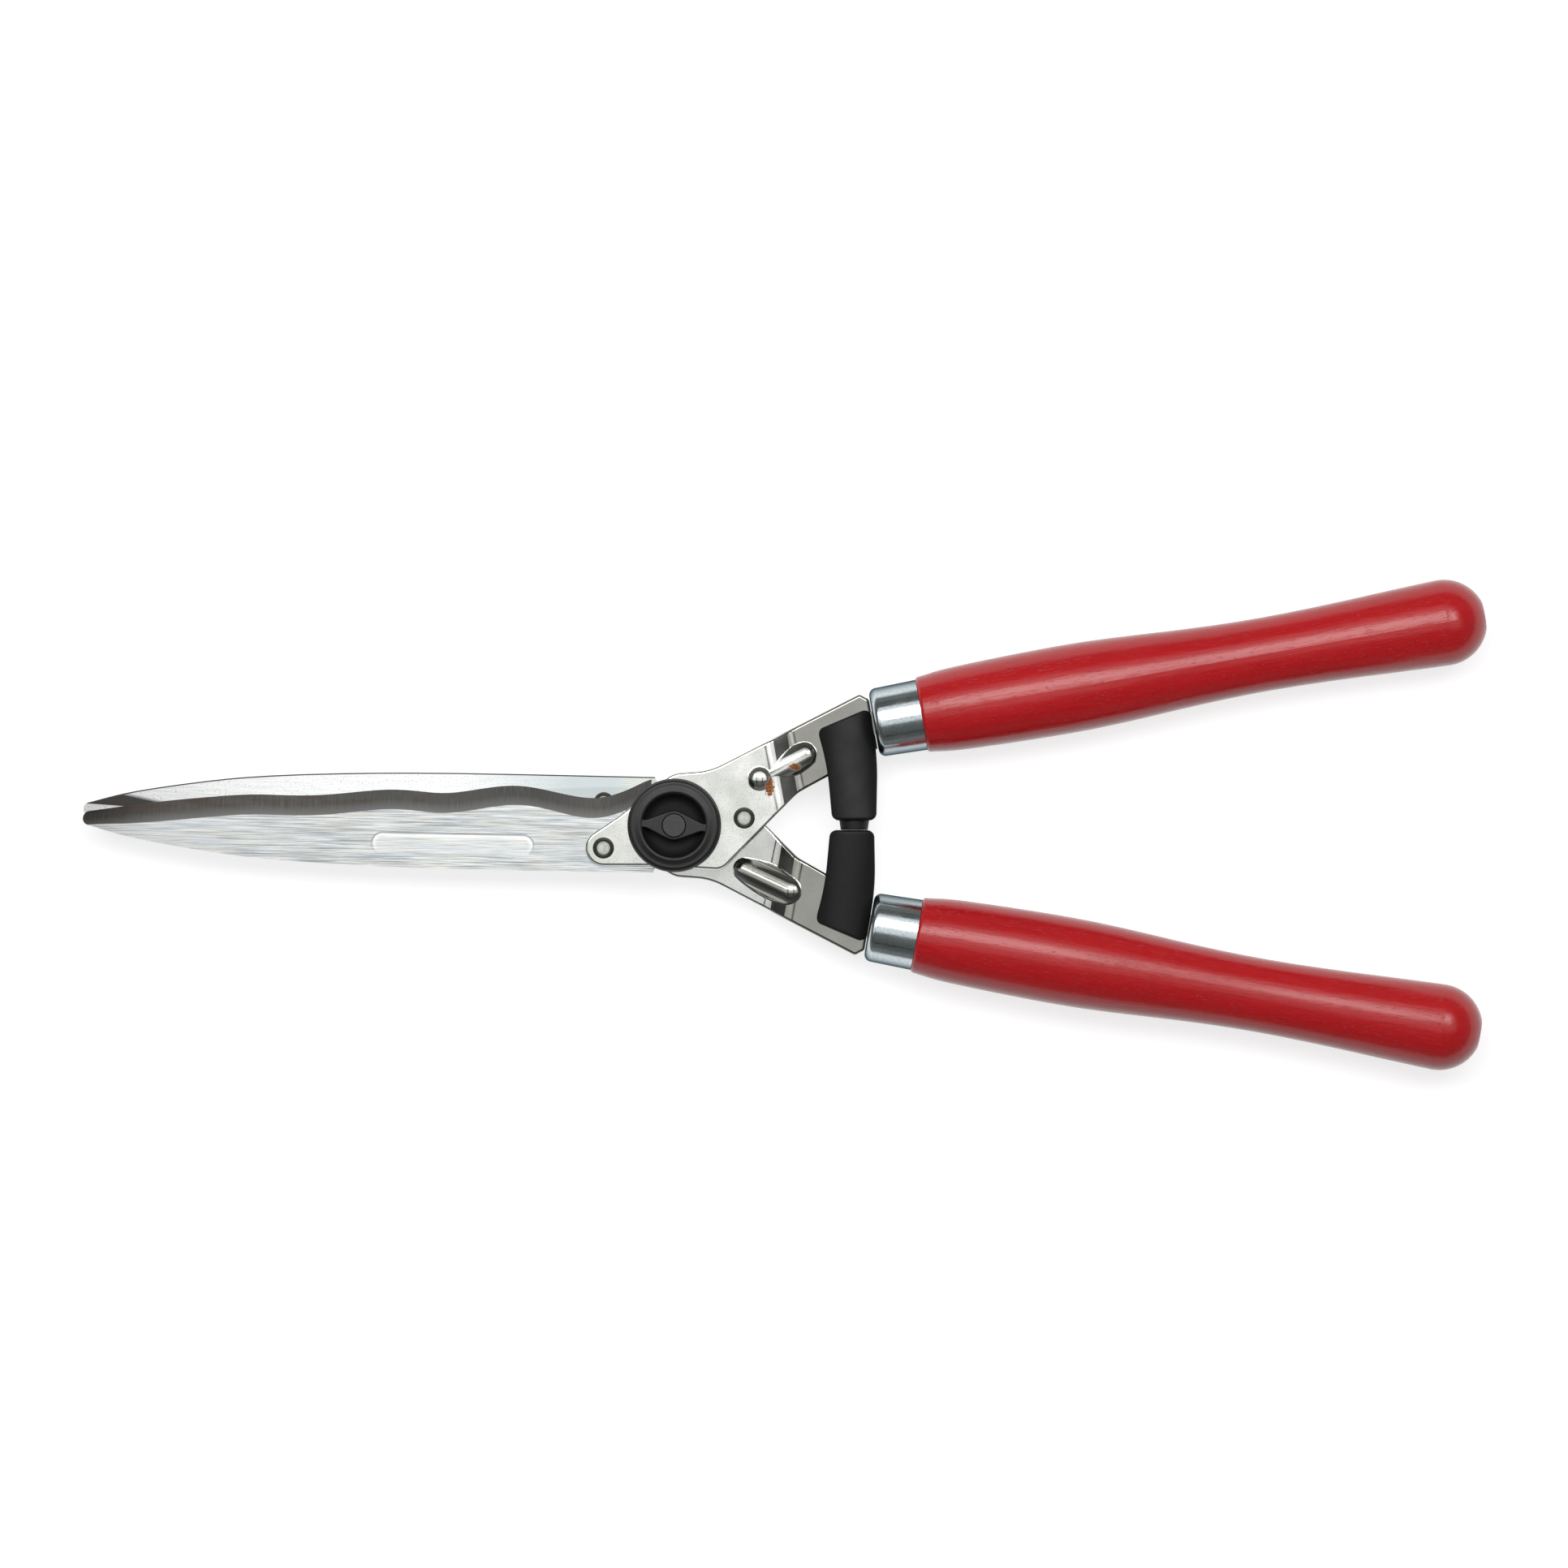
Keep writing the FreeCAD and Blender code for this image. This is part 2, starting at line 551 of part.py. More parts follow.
def make_ferrule(shift):
    """The drawn cup on the handle's front, slotted for the tang."""
    start = axis_point(FERRULE_START + shift)
    direction = axis_point(1) - axis_point(0)
    inner_corner = FERRULE_CORNER_RADIUS - FERRULE_WALL
    corners = [(0, 0, 0), (0, FERRULE_RADIUS, FERRULE_CORNER_RADIUS),
               (FERRULE_LENGTH, FERRULE_MOUTH_RADIUS, 0),
               (FERRULE_LENGTH, FERRULE_MOUTH_RADIUS - FERRULE_WALL, 0),
               (FERRULE_WALL, FERRULE_RADIUS - FERRULE_WALL, inner_corner), (FERRULE_WALL, 0, 0)]
    cup = turned(corners, start, direction, Z_AXIS)
    return cup.cut(handle_tang(shift, PRESS_CLEARANCE))


def make_handle(shift):
    """The turned wooden handle, with the neck that sits in the ferrule and the tang's slot."""
    start = axis_point(FERRULE_START + FERRULE_LENGTH + shift + PRESS_CLEARANCE)
    direction = axis_point(1) - axis_point(0)

    def place(along, radius):
        return start + direction * along + Z_AXIS * radius

    neck_start = FERRULE_WALL * 2 - FERRULE_LENGTH
    neck_low = FERRULE_RADIUS - FERRULE_WALL - PRESS_CLEARANCE * 2
    neck_high = FERRULE_MOUTH_RADIUS - FERRULE_WALL - PRESS_CLEARANCE * 2
    neck_corner = FERRULE_CORNER_RADIUS
    profile = [place(along * HANDLE_LENGTH, radius * HANDLE_RADIUS)
               for along, radius in HANDLE_SHARES]
    ball_reach = math.sqrt(HANDLE_END_RADIUS ** 2 - HANDLE_FLAT_RADIUS ** 2)
    ball_centre = HANDLE_LENGTH - ball_reach
    profile.append(place(ball_centre, HANDLE_END_RADIUS))
    half_turn = math.atan2(ball_reach, HANDLE_FLAT_RADIUS) / 2
    ball_middle = place(ball_centre + HANDLE_END_RADIUS * math.sin(half_turn),
                        HANDLE_END_RADIUS * math.cos(half_turn))
    shoulder_low = place(0, HANDLE_SHARES[0][1] * HANDLE_RADIUS - SHOULDER_RADIUS)
    shoulder_bulge = (Z_AXIS - direction) * (SHOULDER_RADIUS * SHOULDER_BULGE_SHARE)
    shoulder_middle = (shoulder_low + profile[0]) / 2 + shoulder_bulge
    edges = [Part.makePolygon([place(neck_start, 0), place(neck_start, neck_low - neck_corner),
                               place(neck_start + neck_corner, neck_low), place(0, neck_high),
                               shoulder_low]),
             Part.Arc(shoulder_low, shoulder_middle, profile[0]).toShape(),
             smooth_curve(profile),
             Part.Arc(profile[-1], ball_middle, place(HANDLE_LENGTH, HANDLE_FLAT_RADIUS)).toShape(),
             Part.makePolygon([place(HANDLE_LENGTH, HANDLE_FLAT_RADIUS), place(HANDLE_LENGTH, 0),
                               place(neck_start, 0)])]
    wood = Part.Face(Part.Wire(edges)).revolve(start, direction, 360)
    return wood.cut(handle_tang(shift, PRESS_CLEARANCE))


def make_bumper(shift, reach, with_buffer):
    """The stop shoe that straddles the bracket and ends in a flat meeting face."""
    bottom = SHOE_GAP / 2
    left = reach - SHOE_HALF_WIDTH
    right = reach + SHOE_HALF_WIDTH
    slope = math.tan(math.radians(SHOE_TOP_SLOPE))
    ferrule_front = axis_point(FERRULE_START + shift)
    ferrule_slope = math.tan(math.radians(HANDLE_ANGLE))
    top_right = ferrule_front.x - (SHOE_TOP - ferrule_front.y) * ferrule_slope - SHOE_FERRULE_GAP
    top_left = left - SHOE_FLARE
    top_low = SHOE_TOP - (top_right - top_left) * slope
    middle = (bottom + SHOE_TOP) / 2
    corners = [(left, bottom, SHOE_CORNER_RADIUS),
               (right, bottom, SHOE_CORNER_RADIUS),
               (right + SHOE_BELLY / 2, middle, SHOE_BOW_RADIUS),
               (top_right, SHOE_TOP, SHOE_CORNER_RADIUS),
               (top_left, top_low, SHOE_CORNER_RADIUS),
               ((left + top_left) / 2 + SHOE_BELLY, middle, SHOE_BOW_RADIUS)]
    shoe = prism(corners, -SHOE_HALF_HEIGHT * 2, SHOE_HALF_HEIGHT * 2)
    lean = V(-SHOE_FLARE / 2 - SHOE_BELLY, SHOE_TOP - bottom, SHOE_THIN_HALF_HEIGHT - SHOE_HALF_HEIGHT)
    for side in (1, -1):
        start = V(reach, bottom, side * (SHOE_HALF_HEIGHT - SHOE_CROWN_RADIUS))
        direction = V(lean.x, lean.y, side * lean.z)
        step = direction * (CUT_OVERRUN / direction.Length)
        crown = Part.makeCylinder(SHOE_CROWN_RADIUS, SHOE_TOP + CUT_OVERRUN, start - step, direction)
        shoe = shoe.common(crown)
    shoe = shoe.makeFillet(SHOE_EDGE_RADIUS, shoe.Edges)
    slot = plate_corners(shift, CUT_OVERRUN)
    shoe = shoe.cut(prism(slot, -PLATE_THICKNESS / 2, PLATE_THICKNESS / 2))
    shoe = shoe.cut(plate_finger(reach))
    if with_buffer:
        stem = Part.makeCylinder(BUFFER_STEM_RADIUS + PRESS_CLEARANCE,
                                 BUFFER_STEM_LENGTH + PRESS_CLEARANCE + CUT_OVERRUN,
                                 V(reach, bottom - CUT_OVERRUN, 0), Y_AXIS)
        shoe = shoe.cut(stem)
    return shoe


def make_buffer():
    """The rubber plug in the front shoe's end, tapered towards the rear shoe."""
    bottom = SHOE_GAP / 2
    tip = -bottom + STOP_GAP
    seat = bottom - PRESS_CLEARANCE
    end = bottom + BUFFER_STEM_LENGTH
    corners = [(tip, 0, 0), (tip, BUFFER_TIP_RADIUS, BUFFER_EDGE_RADIUS), (seat, BUFFER_RADIUS, 0),
               (seat, BUFFER_STEM_RADIUS, 0), (end, BUFFER_STEM_RADIUS, BUFFER_EDGE_RADIUS),
               (end, 0, 0)]
    reach = shoe_reach(FRONT_HANDLE_SHIFT, FRONT_SHOE_OVERHANG)
    return turned(corners, V(reach, 0, 0), Y_AXIS, X_AXIS)


def make_bush():
    """The sleeve in the rear blade and bracket."""
    outer = SHANK_RADIUS + RUNNING_CLEARANCE + BUSH_WALL
    sleeve = cylinder(outer, blade_low, bracket_high)
    return sleeve.cut(cylinder(SHANK_RADIUS + RUNNING_CLEARANCE, blade_low - CUT_OVERRUN,
                               bracket_high + CUT_OVERRUN))


def ring(outer, inner, low, high):
    """A flat washer between two levels."""
    return cylinder(outer, low, high).cut(cylinder(inner, low - CUT_OVERRUN, high + CUT_OVERRUN))


def make_bolt():
    """The pivot bolt: head at the back, round shank, two flats, threaded end."""
    low = head_top - HEAD_HEIGHT
    head = turned([(low, 0, 0), (low, HEAD_RADIUS, HEAD_EDGE_RADIUS), (head_top, HEAD_RADIUS, 0),
                   (head_top, 0, 0)])
    shank = cylinder(SHANK_RADIUS, head_top, 0)
    side = SHANK_RADIUS
    flats = Part.makeBox(2 * side, 2 * FLAT_HALF_WIDTH, bracket_high, V(-side, -FLAT_HALF_WIDTH, 0))
    keyed = cylinder(SHANK_RADIUS, 0, bracket_high).common(flats)
    tip = cap_low - BOLT_TIP_GAP
    thread = turned([(0, 0, 0), (0, THREAD_RADIUS, 0), (tip, THREAD_RADIUS, THREAD_TIP_RADIUS),
                     (tip, 0, 0)])
    return head.fuse([shank, keyed, thread]).removeSplitter()


def make_spring():
    """The cone-shaped spring washer."""
    hole = THREAD_RADIUS + SPRING_CLEARANCE
    low = bracket_high
    corners = [(low, SPRING_RADIUS, 0), (low + SPRING_THICKNESS, SPRING_RADIUS, 0),
               (low + SPRING_THICKNESS + SPRING_CONE, hole, 0), (low + SPRING_CONE, hole, 0)]
    return turned(corners)


def knob_shell(dished):
    """The knob's turned form, with its dished top or filled up to the rim."""
    corners = [(knob_low, 0, 0), (knob_low, KNOB_RADIUS, KNOB_EDGE_RADIUS)]
    corners += [(knob_high - drop, reach, radius) for drop, reach, radius in KNOB_RIM]
    if dished:
        return turned(corners + [(knob_high - DISH_DEPTH, 0, 0)])
    return turned(corners[:-2] + [(knob_high, 0, 0)])


def bar_corners():
    """Outline of the grip bar: straight ends, waists, and flares into the boss."""
    waist = KNOB_RADIUS * BAR_WAIST_SHARE
    flare = tuple(share * BOSS_RADIUS for share in BAR_FLARE_SHARES)
    quarter = [(KNOB_RADIUS, BAR_HALF_WIDTH, 0), (waist, BAR_WAIST, BOSS_RADIUS), flare]
    left = [(-x, y, radius) for x, y, radius in reversed(quarter)]
    below = [(-x, -y, radius) for x, y, radius in quarter + left]
    return quarter + left + below


def nut_prism(clearance, low, high):
    """A hexagonal prism, for the nut and its seat."""
    outer = (NUT_HALF_WIDTH + clearance) / math.cos(math.radians(30))
    corners = []
    for side in range(6):
        turn = math.radians(60 * side)
        corners.append((outer * math.cos(turn), outer * math.sin(turn), 0))
    return prism(corners, low, high)


def make_knob():
    """The moulded knob: dished top with a grip bar, hollow foot, seats for the nut and cap."""
    bar_high = knob_high - BAR_DROP
    bar = prism(bar_corners(), nut_high, bar_high)
    bar = bar.fuse(cylinder(BOSS_RADIUS, nut_high, bar_high)).removeSplitter()
    top_edges = [edge for edge in bar.Edges if edge.BoundBox.ZMin > bar_high - BAR_EDGE_RADIUS]
    bar = bar.makeFillet(BAR_EDGE_RADIUS, top_edges)
    knob = knob_shell(True).fuse(bar.common(knob_shell(False))).removeSplitter()
    foot = SPRING_RADIUS + SPRING_ROOM
    knob = knob.cut(cylinder(foot, knob_low - CUT_OVERRUN, washer_high))
    knob = knob.cut(nut_prism(PRESS_CLEARANCE, washer_high - CUT_OVERRUN, nut_high))
    knob = knob.cut(cylinder(THREAD_RADIUS + CAP_GROOVE, nut_high - CUT_OVERRUN, knob_high))
    knob = knob.cut(cylinder(CAP_RADIUS + CAP_GROOVE, cap_low, knob_high + CUT_OVERRUN))
    return knob


def make_nut():
    """The nut moulded into the knob."""
    nut = nut_prism(0, washer_high, nut_high - PRESS_CLEARANCE)
    return nut.cut(cylinder(THREAD_RADIUS + RUNNING_CLEARANCE, washer_high - CUT_OVERRUN,
                            nut_high + CUT_OVERRUN))


def make_cap():
    """The small disc in the middle of the knob."""
    high = cap_low + CAP_THICKNESS
    return turned([(cap_low, 0, 0), (cap_low, CAP_RADIUS, 0), (high, CAP_RADIUS, CAP_EDGE_RADIUS),
                   (high, 0, 0)])


def make_arm(front):
    """The pieces that both arms have, modelled as the front one."""
    shift = FRONT_HANDLE_SHIFT if front else REAR_HANDLE_SHIFT
    lean = BLADE_LEAN if front else -BLADE_LEAN
    reach = shoe_reach(shift, FRONT_SHOE_OVERHANG if front else REAR_SHOE_OVERHANG)
    return {"blade": make_blade(lean, front),
            "bracket": make_bracket(shift, front, reach),
            "blade_rivets": make_rivets(),
            "ferrule": make_ferrule(shift),
            "handle": make_handle(shift),
            "bumper": make_bumper(shift, reach, front)}


parts = {}
for name, shape in make_arm(True).items():
    parts["front_" + name] = shape
for name, shape in make_arm(False).items():
    shape.rotate(V(0, 0, 0), X_AXIS, 180)
    parts["rear_" + name] = shape
bush = make_bush()
bush.rotate(V(0, 0, 0), X_AXIS, 180)
parts["pivot_bush"] = bush
parts["rubber_buffer"] = make_buffer()
parts["pivot_bolt"] = make_bolt()
parts["friction_washer"] = ring(FRICTION_WASHER_RADIUS, SHANK_RADIUS + PRESS_CLEARANCE,
                                head_top, head_top + FRICTION_WASHER_THICKNESS)
parts["disc_spring"] = make_spring()
parts["thrust_washer"] = ring(THRUST_WASHER_RADIUS, THREAD_RADIUS + RUNNING_CLEARANCE,
                              washer_low, washer_high)
for name, shape in [("knob_body", make_knob()), ("knob_nut", make_nut()), ("knob_cap", make_cap())]:
    shape.rotate(V(0, 0, 0), Z_AXIS, BAR_TURN)
    parts[name] = shape

# The model stands with the centre of its box's bottom face at the origin
box = Part.Compound(list(parts.values())).optimalBoundingBox()
origin = V((box.XMin + box.XMax) / 2, (box.YMin + box.YMax) / 2, box.ZMin)
os.makedirs("parts", exist_ok=True)
for name, shape in parts.items():
    shape.translate(-origin)
    shape.exportStep("parts/" + name + ".step")
    print(name, shape.isValid(), len(shape.Solids), round(shape.Volume, 1))
print("box", round(box.XLength, 2), round(box.YLength, 2), round(box.ZLength, 2))
print("pivot at", round(-origin.x, 3), round(-origin.y, 3), "blades meet at", round(-origin.z, 3))
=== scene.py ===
# %% [markdown]
# # Hedge shears
# This script dresses a pair of hedge shears for a studio picture. The solids come from a CAD
# model: two wavy blades, two stamped brackets, stop shoes, ferrules, turned handles and an
# adjusting knob. Each cell explains one piece or finish, then makes it, so the file can be read as
# a lesson.

# %% [markdown]
# ## The frame
# The CAD solids are loaded first and stay where they are. Everything is in metres, X runs from the
# blades' tips to the handles and Z is up, along the pivot. The size of the CAD box is printed.

# %% Load the CAD model
import json
import math

import bmesh
import bpy
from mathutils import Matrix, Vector


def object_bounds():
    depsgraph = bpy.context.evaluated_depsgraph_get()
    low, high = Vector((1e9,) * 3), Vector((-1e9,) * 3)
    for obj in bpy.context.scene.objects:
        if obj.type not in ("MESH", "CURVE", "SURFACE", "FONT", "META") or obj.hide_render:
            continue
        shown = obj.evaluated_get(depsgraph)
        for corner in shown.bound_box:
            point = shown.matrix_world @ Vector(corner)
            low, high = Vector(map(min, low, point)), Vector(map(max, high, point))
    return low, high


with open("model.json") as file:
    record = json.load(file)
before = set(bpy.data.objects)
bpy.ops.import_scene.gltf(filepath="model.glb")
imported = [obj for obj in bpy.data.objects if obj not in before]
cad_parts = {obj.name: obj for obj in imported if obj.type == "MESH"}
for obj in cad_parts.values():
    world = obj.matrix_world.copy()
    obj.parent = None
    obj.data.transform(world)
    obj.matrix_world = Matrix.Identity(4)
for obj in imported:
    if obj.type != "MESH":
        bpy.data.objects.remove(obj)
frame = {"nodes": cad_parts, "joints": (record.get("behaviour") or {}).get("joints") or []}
cad_low, cad_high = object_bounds()
print("CAD box in mm:", [round(side * 1000, 1) for side in cad_high - cad_low])

# %% Named places
MM = 0.001
joints = {joint["name"]: joint for joint in frame["joints"]}
pivot = Vector(joints["blade_pivot"]["pos_m"])
print("pivot in mm:", [round(place / MM, 2) for place in pivot])

# %% [markdown]
# ## The camera
# The picture looks straight down at shears that lie on a table. A long lens far away keeps the
# handles, the knob and the blades at one scale, as a catalogue picture does. The lens follows from
# the width that the picture shows at the height of the pivot.

# %% Camera
PICTURE_WIDTH = 603.0 * MM
CAMERA_HEIGHT = 3.0
SENSOR_WIDTH = 36.0
VIEW_CENTRE = (-0.3 * MM, 15.7 * MM)

camera_data = bpy.data.cameras.new("camera")
camera_data.sensor_width = SENSOR_WIDTH
camera_data.lens = SENSOR_WIDTH * (CAMERA_HEIGHT - pivot.z) / PICTURE_WIDTH
camera = bpy.data.objects.new("camera", camera_data)
camera.location = (*VIEW_CENTRE, CAMERA_HEIGHT)
bpy.context.scene.collection.objects.link(camera)
bpy.context.scene.camera = camera
bpy.context.scene.view_settings.view_transform = "Standard"
print("lens in mm:", round(camera_data.lens, 1))

# %% [markdown]
# ## One helper for colours and one for nodes
# Colours are written as on a colour chart, in sRGB, and turned to the linear values that the
# renderer counts in. The node helper sets a node's properties, then each input: a plain value is
# written into the socket, another node or one of its outputs is linked to it.

# %% Helpers
def linear(code):
    """The linear colour of an sRGB hex code such as #a8161b."""
    channels = [int(code[place:place + 2], 16) / 255 for place in (1, 3, 5)]
    return tuple(part / 12.92 if part <= 0.04045 else ((part + 0.055) / 1.055) ** 2.4
                 for part in channels) + (1.0,)


def add(tree, kind, inputs=None, **settings):
    """A new node with its settings, and its inputs set to values or linked to outputs."""
    made = tree.nodes.new("ShaderNode" + kind)
    for name, value in settings.items():
        setattr(made, name, value)
    for socket, value in (inputs or {}).items():
        if isinstance(value, bpy.types.Node):
            value = value.outputs[0]
        if isinstance(value, bpy.types.NodeSocket):
            tree.links.new(value, made.inputs[socket])
        else:
            made.inputs[socket].default_value = value
    return made


def empty_tree(owner):
    """The node tree of a material or world, without its first nodes."""
    owner.use_nodes = True
    owner.node_tree.nodes.clear()
    return owner.node_tree


print("red paint in linear light:", [round(part, 3) for part in linear("#a8161b")])

# %% [markdown]
# ## White table and studio
# The floor is a plain white table. For the camera and for mirror-like reflections it also glows a
# little, so that it shows as white paper while the soft shadow under the shears stays. The glow is
# cut off for all other rays, so it puts no light on the object.

# %% Floor
FLOOR_SIZE = 30.0
FLOOR_GLOW = 0.74
FLOOR_COLOUR = "#a6a6a6"


def seen_directly(tree):
    """1 for camera, mirror and glass rays, 0 for the rays that light a surface."""
    path = add(tree, "LightPath")
    camera_or_mirror = add(tree, "Math", {0: path.outputs["Is Camera Ray"],
                                          1: path.outputs["Is Glossy Ray"]}, operation="MAXIMUM")
    return add(tree, "Math", {0: camera_or_mirror, 1: path.outputs["Is Transmission Ray"]},
               operation="MAXIMUM")


def table_paper():
    """White paper on the table."""
    material = bpy.data.materials.new("white_table_paper")
    tree = empty_tree(material)
    paper = add(tree, "BsdfDiffuse", {"Color": linear(FLOOR_COLOUR)})
    strength = add(tree, "Math", {0: seen_directly(tree), 1: FLOOR_GLOW}, operation="MULTIPLY")
    glow = add(tree, "Emission", {"Strength": strength})
    both = add(tree, "AddShader", {0: paper, 1: glow})
    add(tree, "OutputMaterial", {"Surface": both})
    return material


floor_mesh = bpy.data.meshes.new("floor")
floor_bm = bmesh.new()
bmesh.ops.create_grid(floor_bm, x_segments=1, y_segments=1, size=FLOOR_SIZE / 2)
floor_bm.to_mesh(floor_mesh)
floor_bm.free()
floor = bpy.data.objects.new("floor", floor_mesh)
floor.location.z = cad_low.z
floor_mesh.materials.append(table_paper())
bpy.context.scene.collection.objects.link(floor)
print("floor at", round(floor.location.z / MM, 2), "mm")

# %% [markdown]
# ## Light
# One large soft box hangs a little towards the top of the picture. It gives the long pale band on
# the paint and the white streak on the ferrules. The sky over the set is plain white, and it lights
# the shears from all sides. Cards stand round the table, pale at the foot and dark along the top,
# and a curtain and two flags hang beside the light: polished steel shows only what it reflects, and
# without something dark in the room it would look like white plastic.

# %% Sky
SKY_COLOUR = "#ffffff"

world = bpy.data.worlds.new("studio")
bpy.context.scene.world = world
sky_tree = empty_tree(world)
sky = add(sky_tree, "Background", {"Color": linear(SKY_COLOUR), "Strength": 1.0})
add(sky_tree, "OutputWorld", {"Surface": sky})
print("sky of", SKY_COLOUR)

# %% Soft box
BOX_DISTANCE = 1.5
BOX_TURN = math.radians(20.5)      # from straight above, towards the top of the picture
BOX_LENGTH = 2.1
BOX_WIDTH = 0.55
BOX_RADIANCE = 5.1                 # how bright the box looks, 1 being white paper

lamp = bpy.data.lights.new("soft_box", "AREA")
lamp.shape = "RECTANGLE"
lamp.size = BOX_LENGTH
lamp.size_y = BOX_WIDTH
lamp.energy = BOX_RADIANCE * math.pi * BOX_LENGTH * BOX_WIDTH
soft_box = bpy.data.objects.new("soft_box", lamp)
soft_box.location = (0, BOX_DISTANCE * math.sin(BOX_TURN), BOX_DISTANCE * math.cos(BOX_TURN))
soft_box.rotation_euler = (-BOX_TURN, 0, 0)
soft_box.visible_camera = False
bpy.context.scene.collection.objects.link(soft_box)
print("soft box of", round(lamp.energy, 1), "W")

# %% Three rings of cards, the curtain and two flags
# For each ring its name, the radius and height of its lower and its upper edge, and its grey
CARD_RINGS = (("pale_cards", (1.9, 0.1), (1.543, 0.6), "#cccecc"),
              ("grey_cards", (1.543, 0.6), (1.29, 0.953), "#8e908e"),
              ("dark_cards", (1.29, 0.953), (1.2, 1.08), "#4c4e4c"))
CARD_SIDES = 48
CURTAIN_HIGH = (-0.33, 1.42)       # Y and height of the curtain's upper edge
CURTAIN_LOW = (-1.15, 1.05)        # and of its lower edge
CURTAIN_LENGTH = 3.0
CURTAIN_GREY = "#a0a2a0"
FLAG_REACH = 0.42                  # middle of a flag, from straight above
FLAG_WIDTH = 0.14
FLAG_LENGTH = 1.6
FLAG_HEIGHT = 1.2
FLAG_GREY = "#303030"


def studio_card(name, card_bm, grey):
    """A card in the set, out of the picture."""
    mesh = bpy.data.meshes.new(name)
    card_bm.to_mesh(mesh)
    card_bm.free()
    material = bpy.data.materials.new(name + "_paper")
    tree = empty_tree(material)
    add(tree, "OutputMaterial", {"Surface": add(tree, "BsdfDiffuse", {"Color": linear(grey)})})
    mesh.materials.append(material)
    card = bpy.data.objects.new(name, mesh)
    card.visible_camera = False
    bpy.context.scene.collection.objects.link(card)
    return card


for ring_name, low_edge, high_edge, ring_grey in CARD_RINGS:
    ring_bm = bmesh.new()
    bmesh.ops.create_cone(ring_bm, cap_ends=False, segments=CARD_SIDES, radius1=low_edge[0],
                          radius2=high_edge[0], depth=high_edge[1] - low_edge[1])
    bmesh.ops.translate(ring_bm, verts=ring_bm.verts, vec=(0, 0, (low_edge[1] + high_edge[1]) / 2))
    studio_card(ring_name, ring_bm, ring_grey)

curtain_bm = bmesh.new()
outline = ((-1, CURTAIN_HIGH), (1, CURTAIN_HIGH), (1, CURTAIN_LOW), (-1, CURTAIN_LOW))
corners = [curtain_bm.verts.new((side * CURTAIN_LENGTH / 2, *edge)) for side, edge in outline]
curtain_bm.faces.new(corners)
studio_card("dark_curtain", curtain_bm, CURTAIN_GREY)

flag_bm = bmesh.new()
for side in (-1, 1):
    grid = bmesh.ops.create_grid(flag_bm, x_segments=1, y_segments=1, size=0.5)
    bmesh.ops.scale(flag_bm, verts=grid["verts"], vec=(FLAG_WIDTH, FLAG_LENGTH, 1))
    bmesh.ops.translate(flag_bm, verts=grid["verts"], vec=(side * FLAG_REACH, 0, FLAG_HEIGHT))
flags = studio_card("dark_flags", flag_bm, FLAG_GREY)
flags.visible_diffuse = False
flags.visible_shadow = False
print(len(CARD_RINGS), "rings of cards, a curtain and two flags")

# %% [markdown]
# ## Materials
# Every finish below starts from what the real one is and how its surface was made. A pattern is
# laid out in millimetres on Object coordinates, which ride with a piece when it moves.

# %% The frame of a material
MIX_FIRST, MIX_SECOND, MIX_RESULT = 6, 7, 2    # the colour sockets of a Mix node


def start_material(name):
    """A material named for its finish, with its tree and the object's own coordinates."""
    material = bpy.data.materials.new(name)
    tree = empty_tree(material)
    return material, tree, add(tree, "TexCoord").outputs["Object"]


def end_material(tree, inputs):
    """Closes a tree with the one shader that every finish here uses."""
    shader = add(tree, "BsdfPrincipled", inputs)
    add(tree, "OutputMaterial", {"Surface": shader})


def patches(tree, place, lengths, detail=2.0, shift=0.0):
    """Noise whose patches have these lengths in mm along X, Y and Z."""
    scaled = add(tree, "Mapping", {"Vector": place, "Location": (shift, shift, shift),
                                   "Scale": [1 / (length * MM) for length in lengths]})
    return add(tree, "TexNoise", {"Vector": scaled, "Scale": 1.0, "Detail": detail})


def laid_over(tree, under, colour, pattern, low=0.0, high=1.0, most=1.0):
    """A colour over another one: none of it where the pattern is low, the most where it is high."""
    share = add(tree, "MapRange", {"Value": pattern, "From Min": low, "From Max": high,
                                   "To Max": most})
    layers = add(tree, "Mix", {"Factor": share, MIX_FIRST: under, MIX_SECOND: linear(colour)},
                 data_type="RGBA")
    return layers.outputs[MIX_RESULT]


print("a Mix node takes colours at", MIX_FIRST, "and", MIX_SECOND, "and gives one at", MIX_RESULT)

# %% [markdown]
# ## Painted beech
# The handles are beech, turned on a lathe and dipped in red gloss paint. The paint is thick enough
# to shine, and thin enough for the grain to show in the shine as fine lengthwise streaks, with a
# few open pores. The colour hardly varies: the grain is in the roughness and in a very small
# relief. Real grain is about half as coarse across, which would be too fine to show.

# %% Red gloss paint over beech
HANDLE_ANGLE = math.radians(10.0)  # how far each handle turns away from the blades' line
# Lengths of the patterns in mm, along the grain and across it
GRAIN = (11.0, 0.8, 0.8)
CLOUDY_PAINT = (45.0, 9.0, 9.0)
OPEN_PORES = (2.6, 0.32, 0.32)
GRAIN_RELIEF = 0.12 * MM


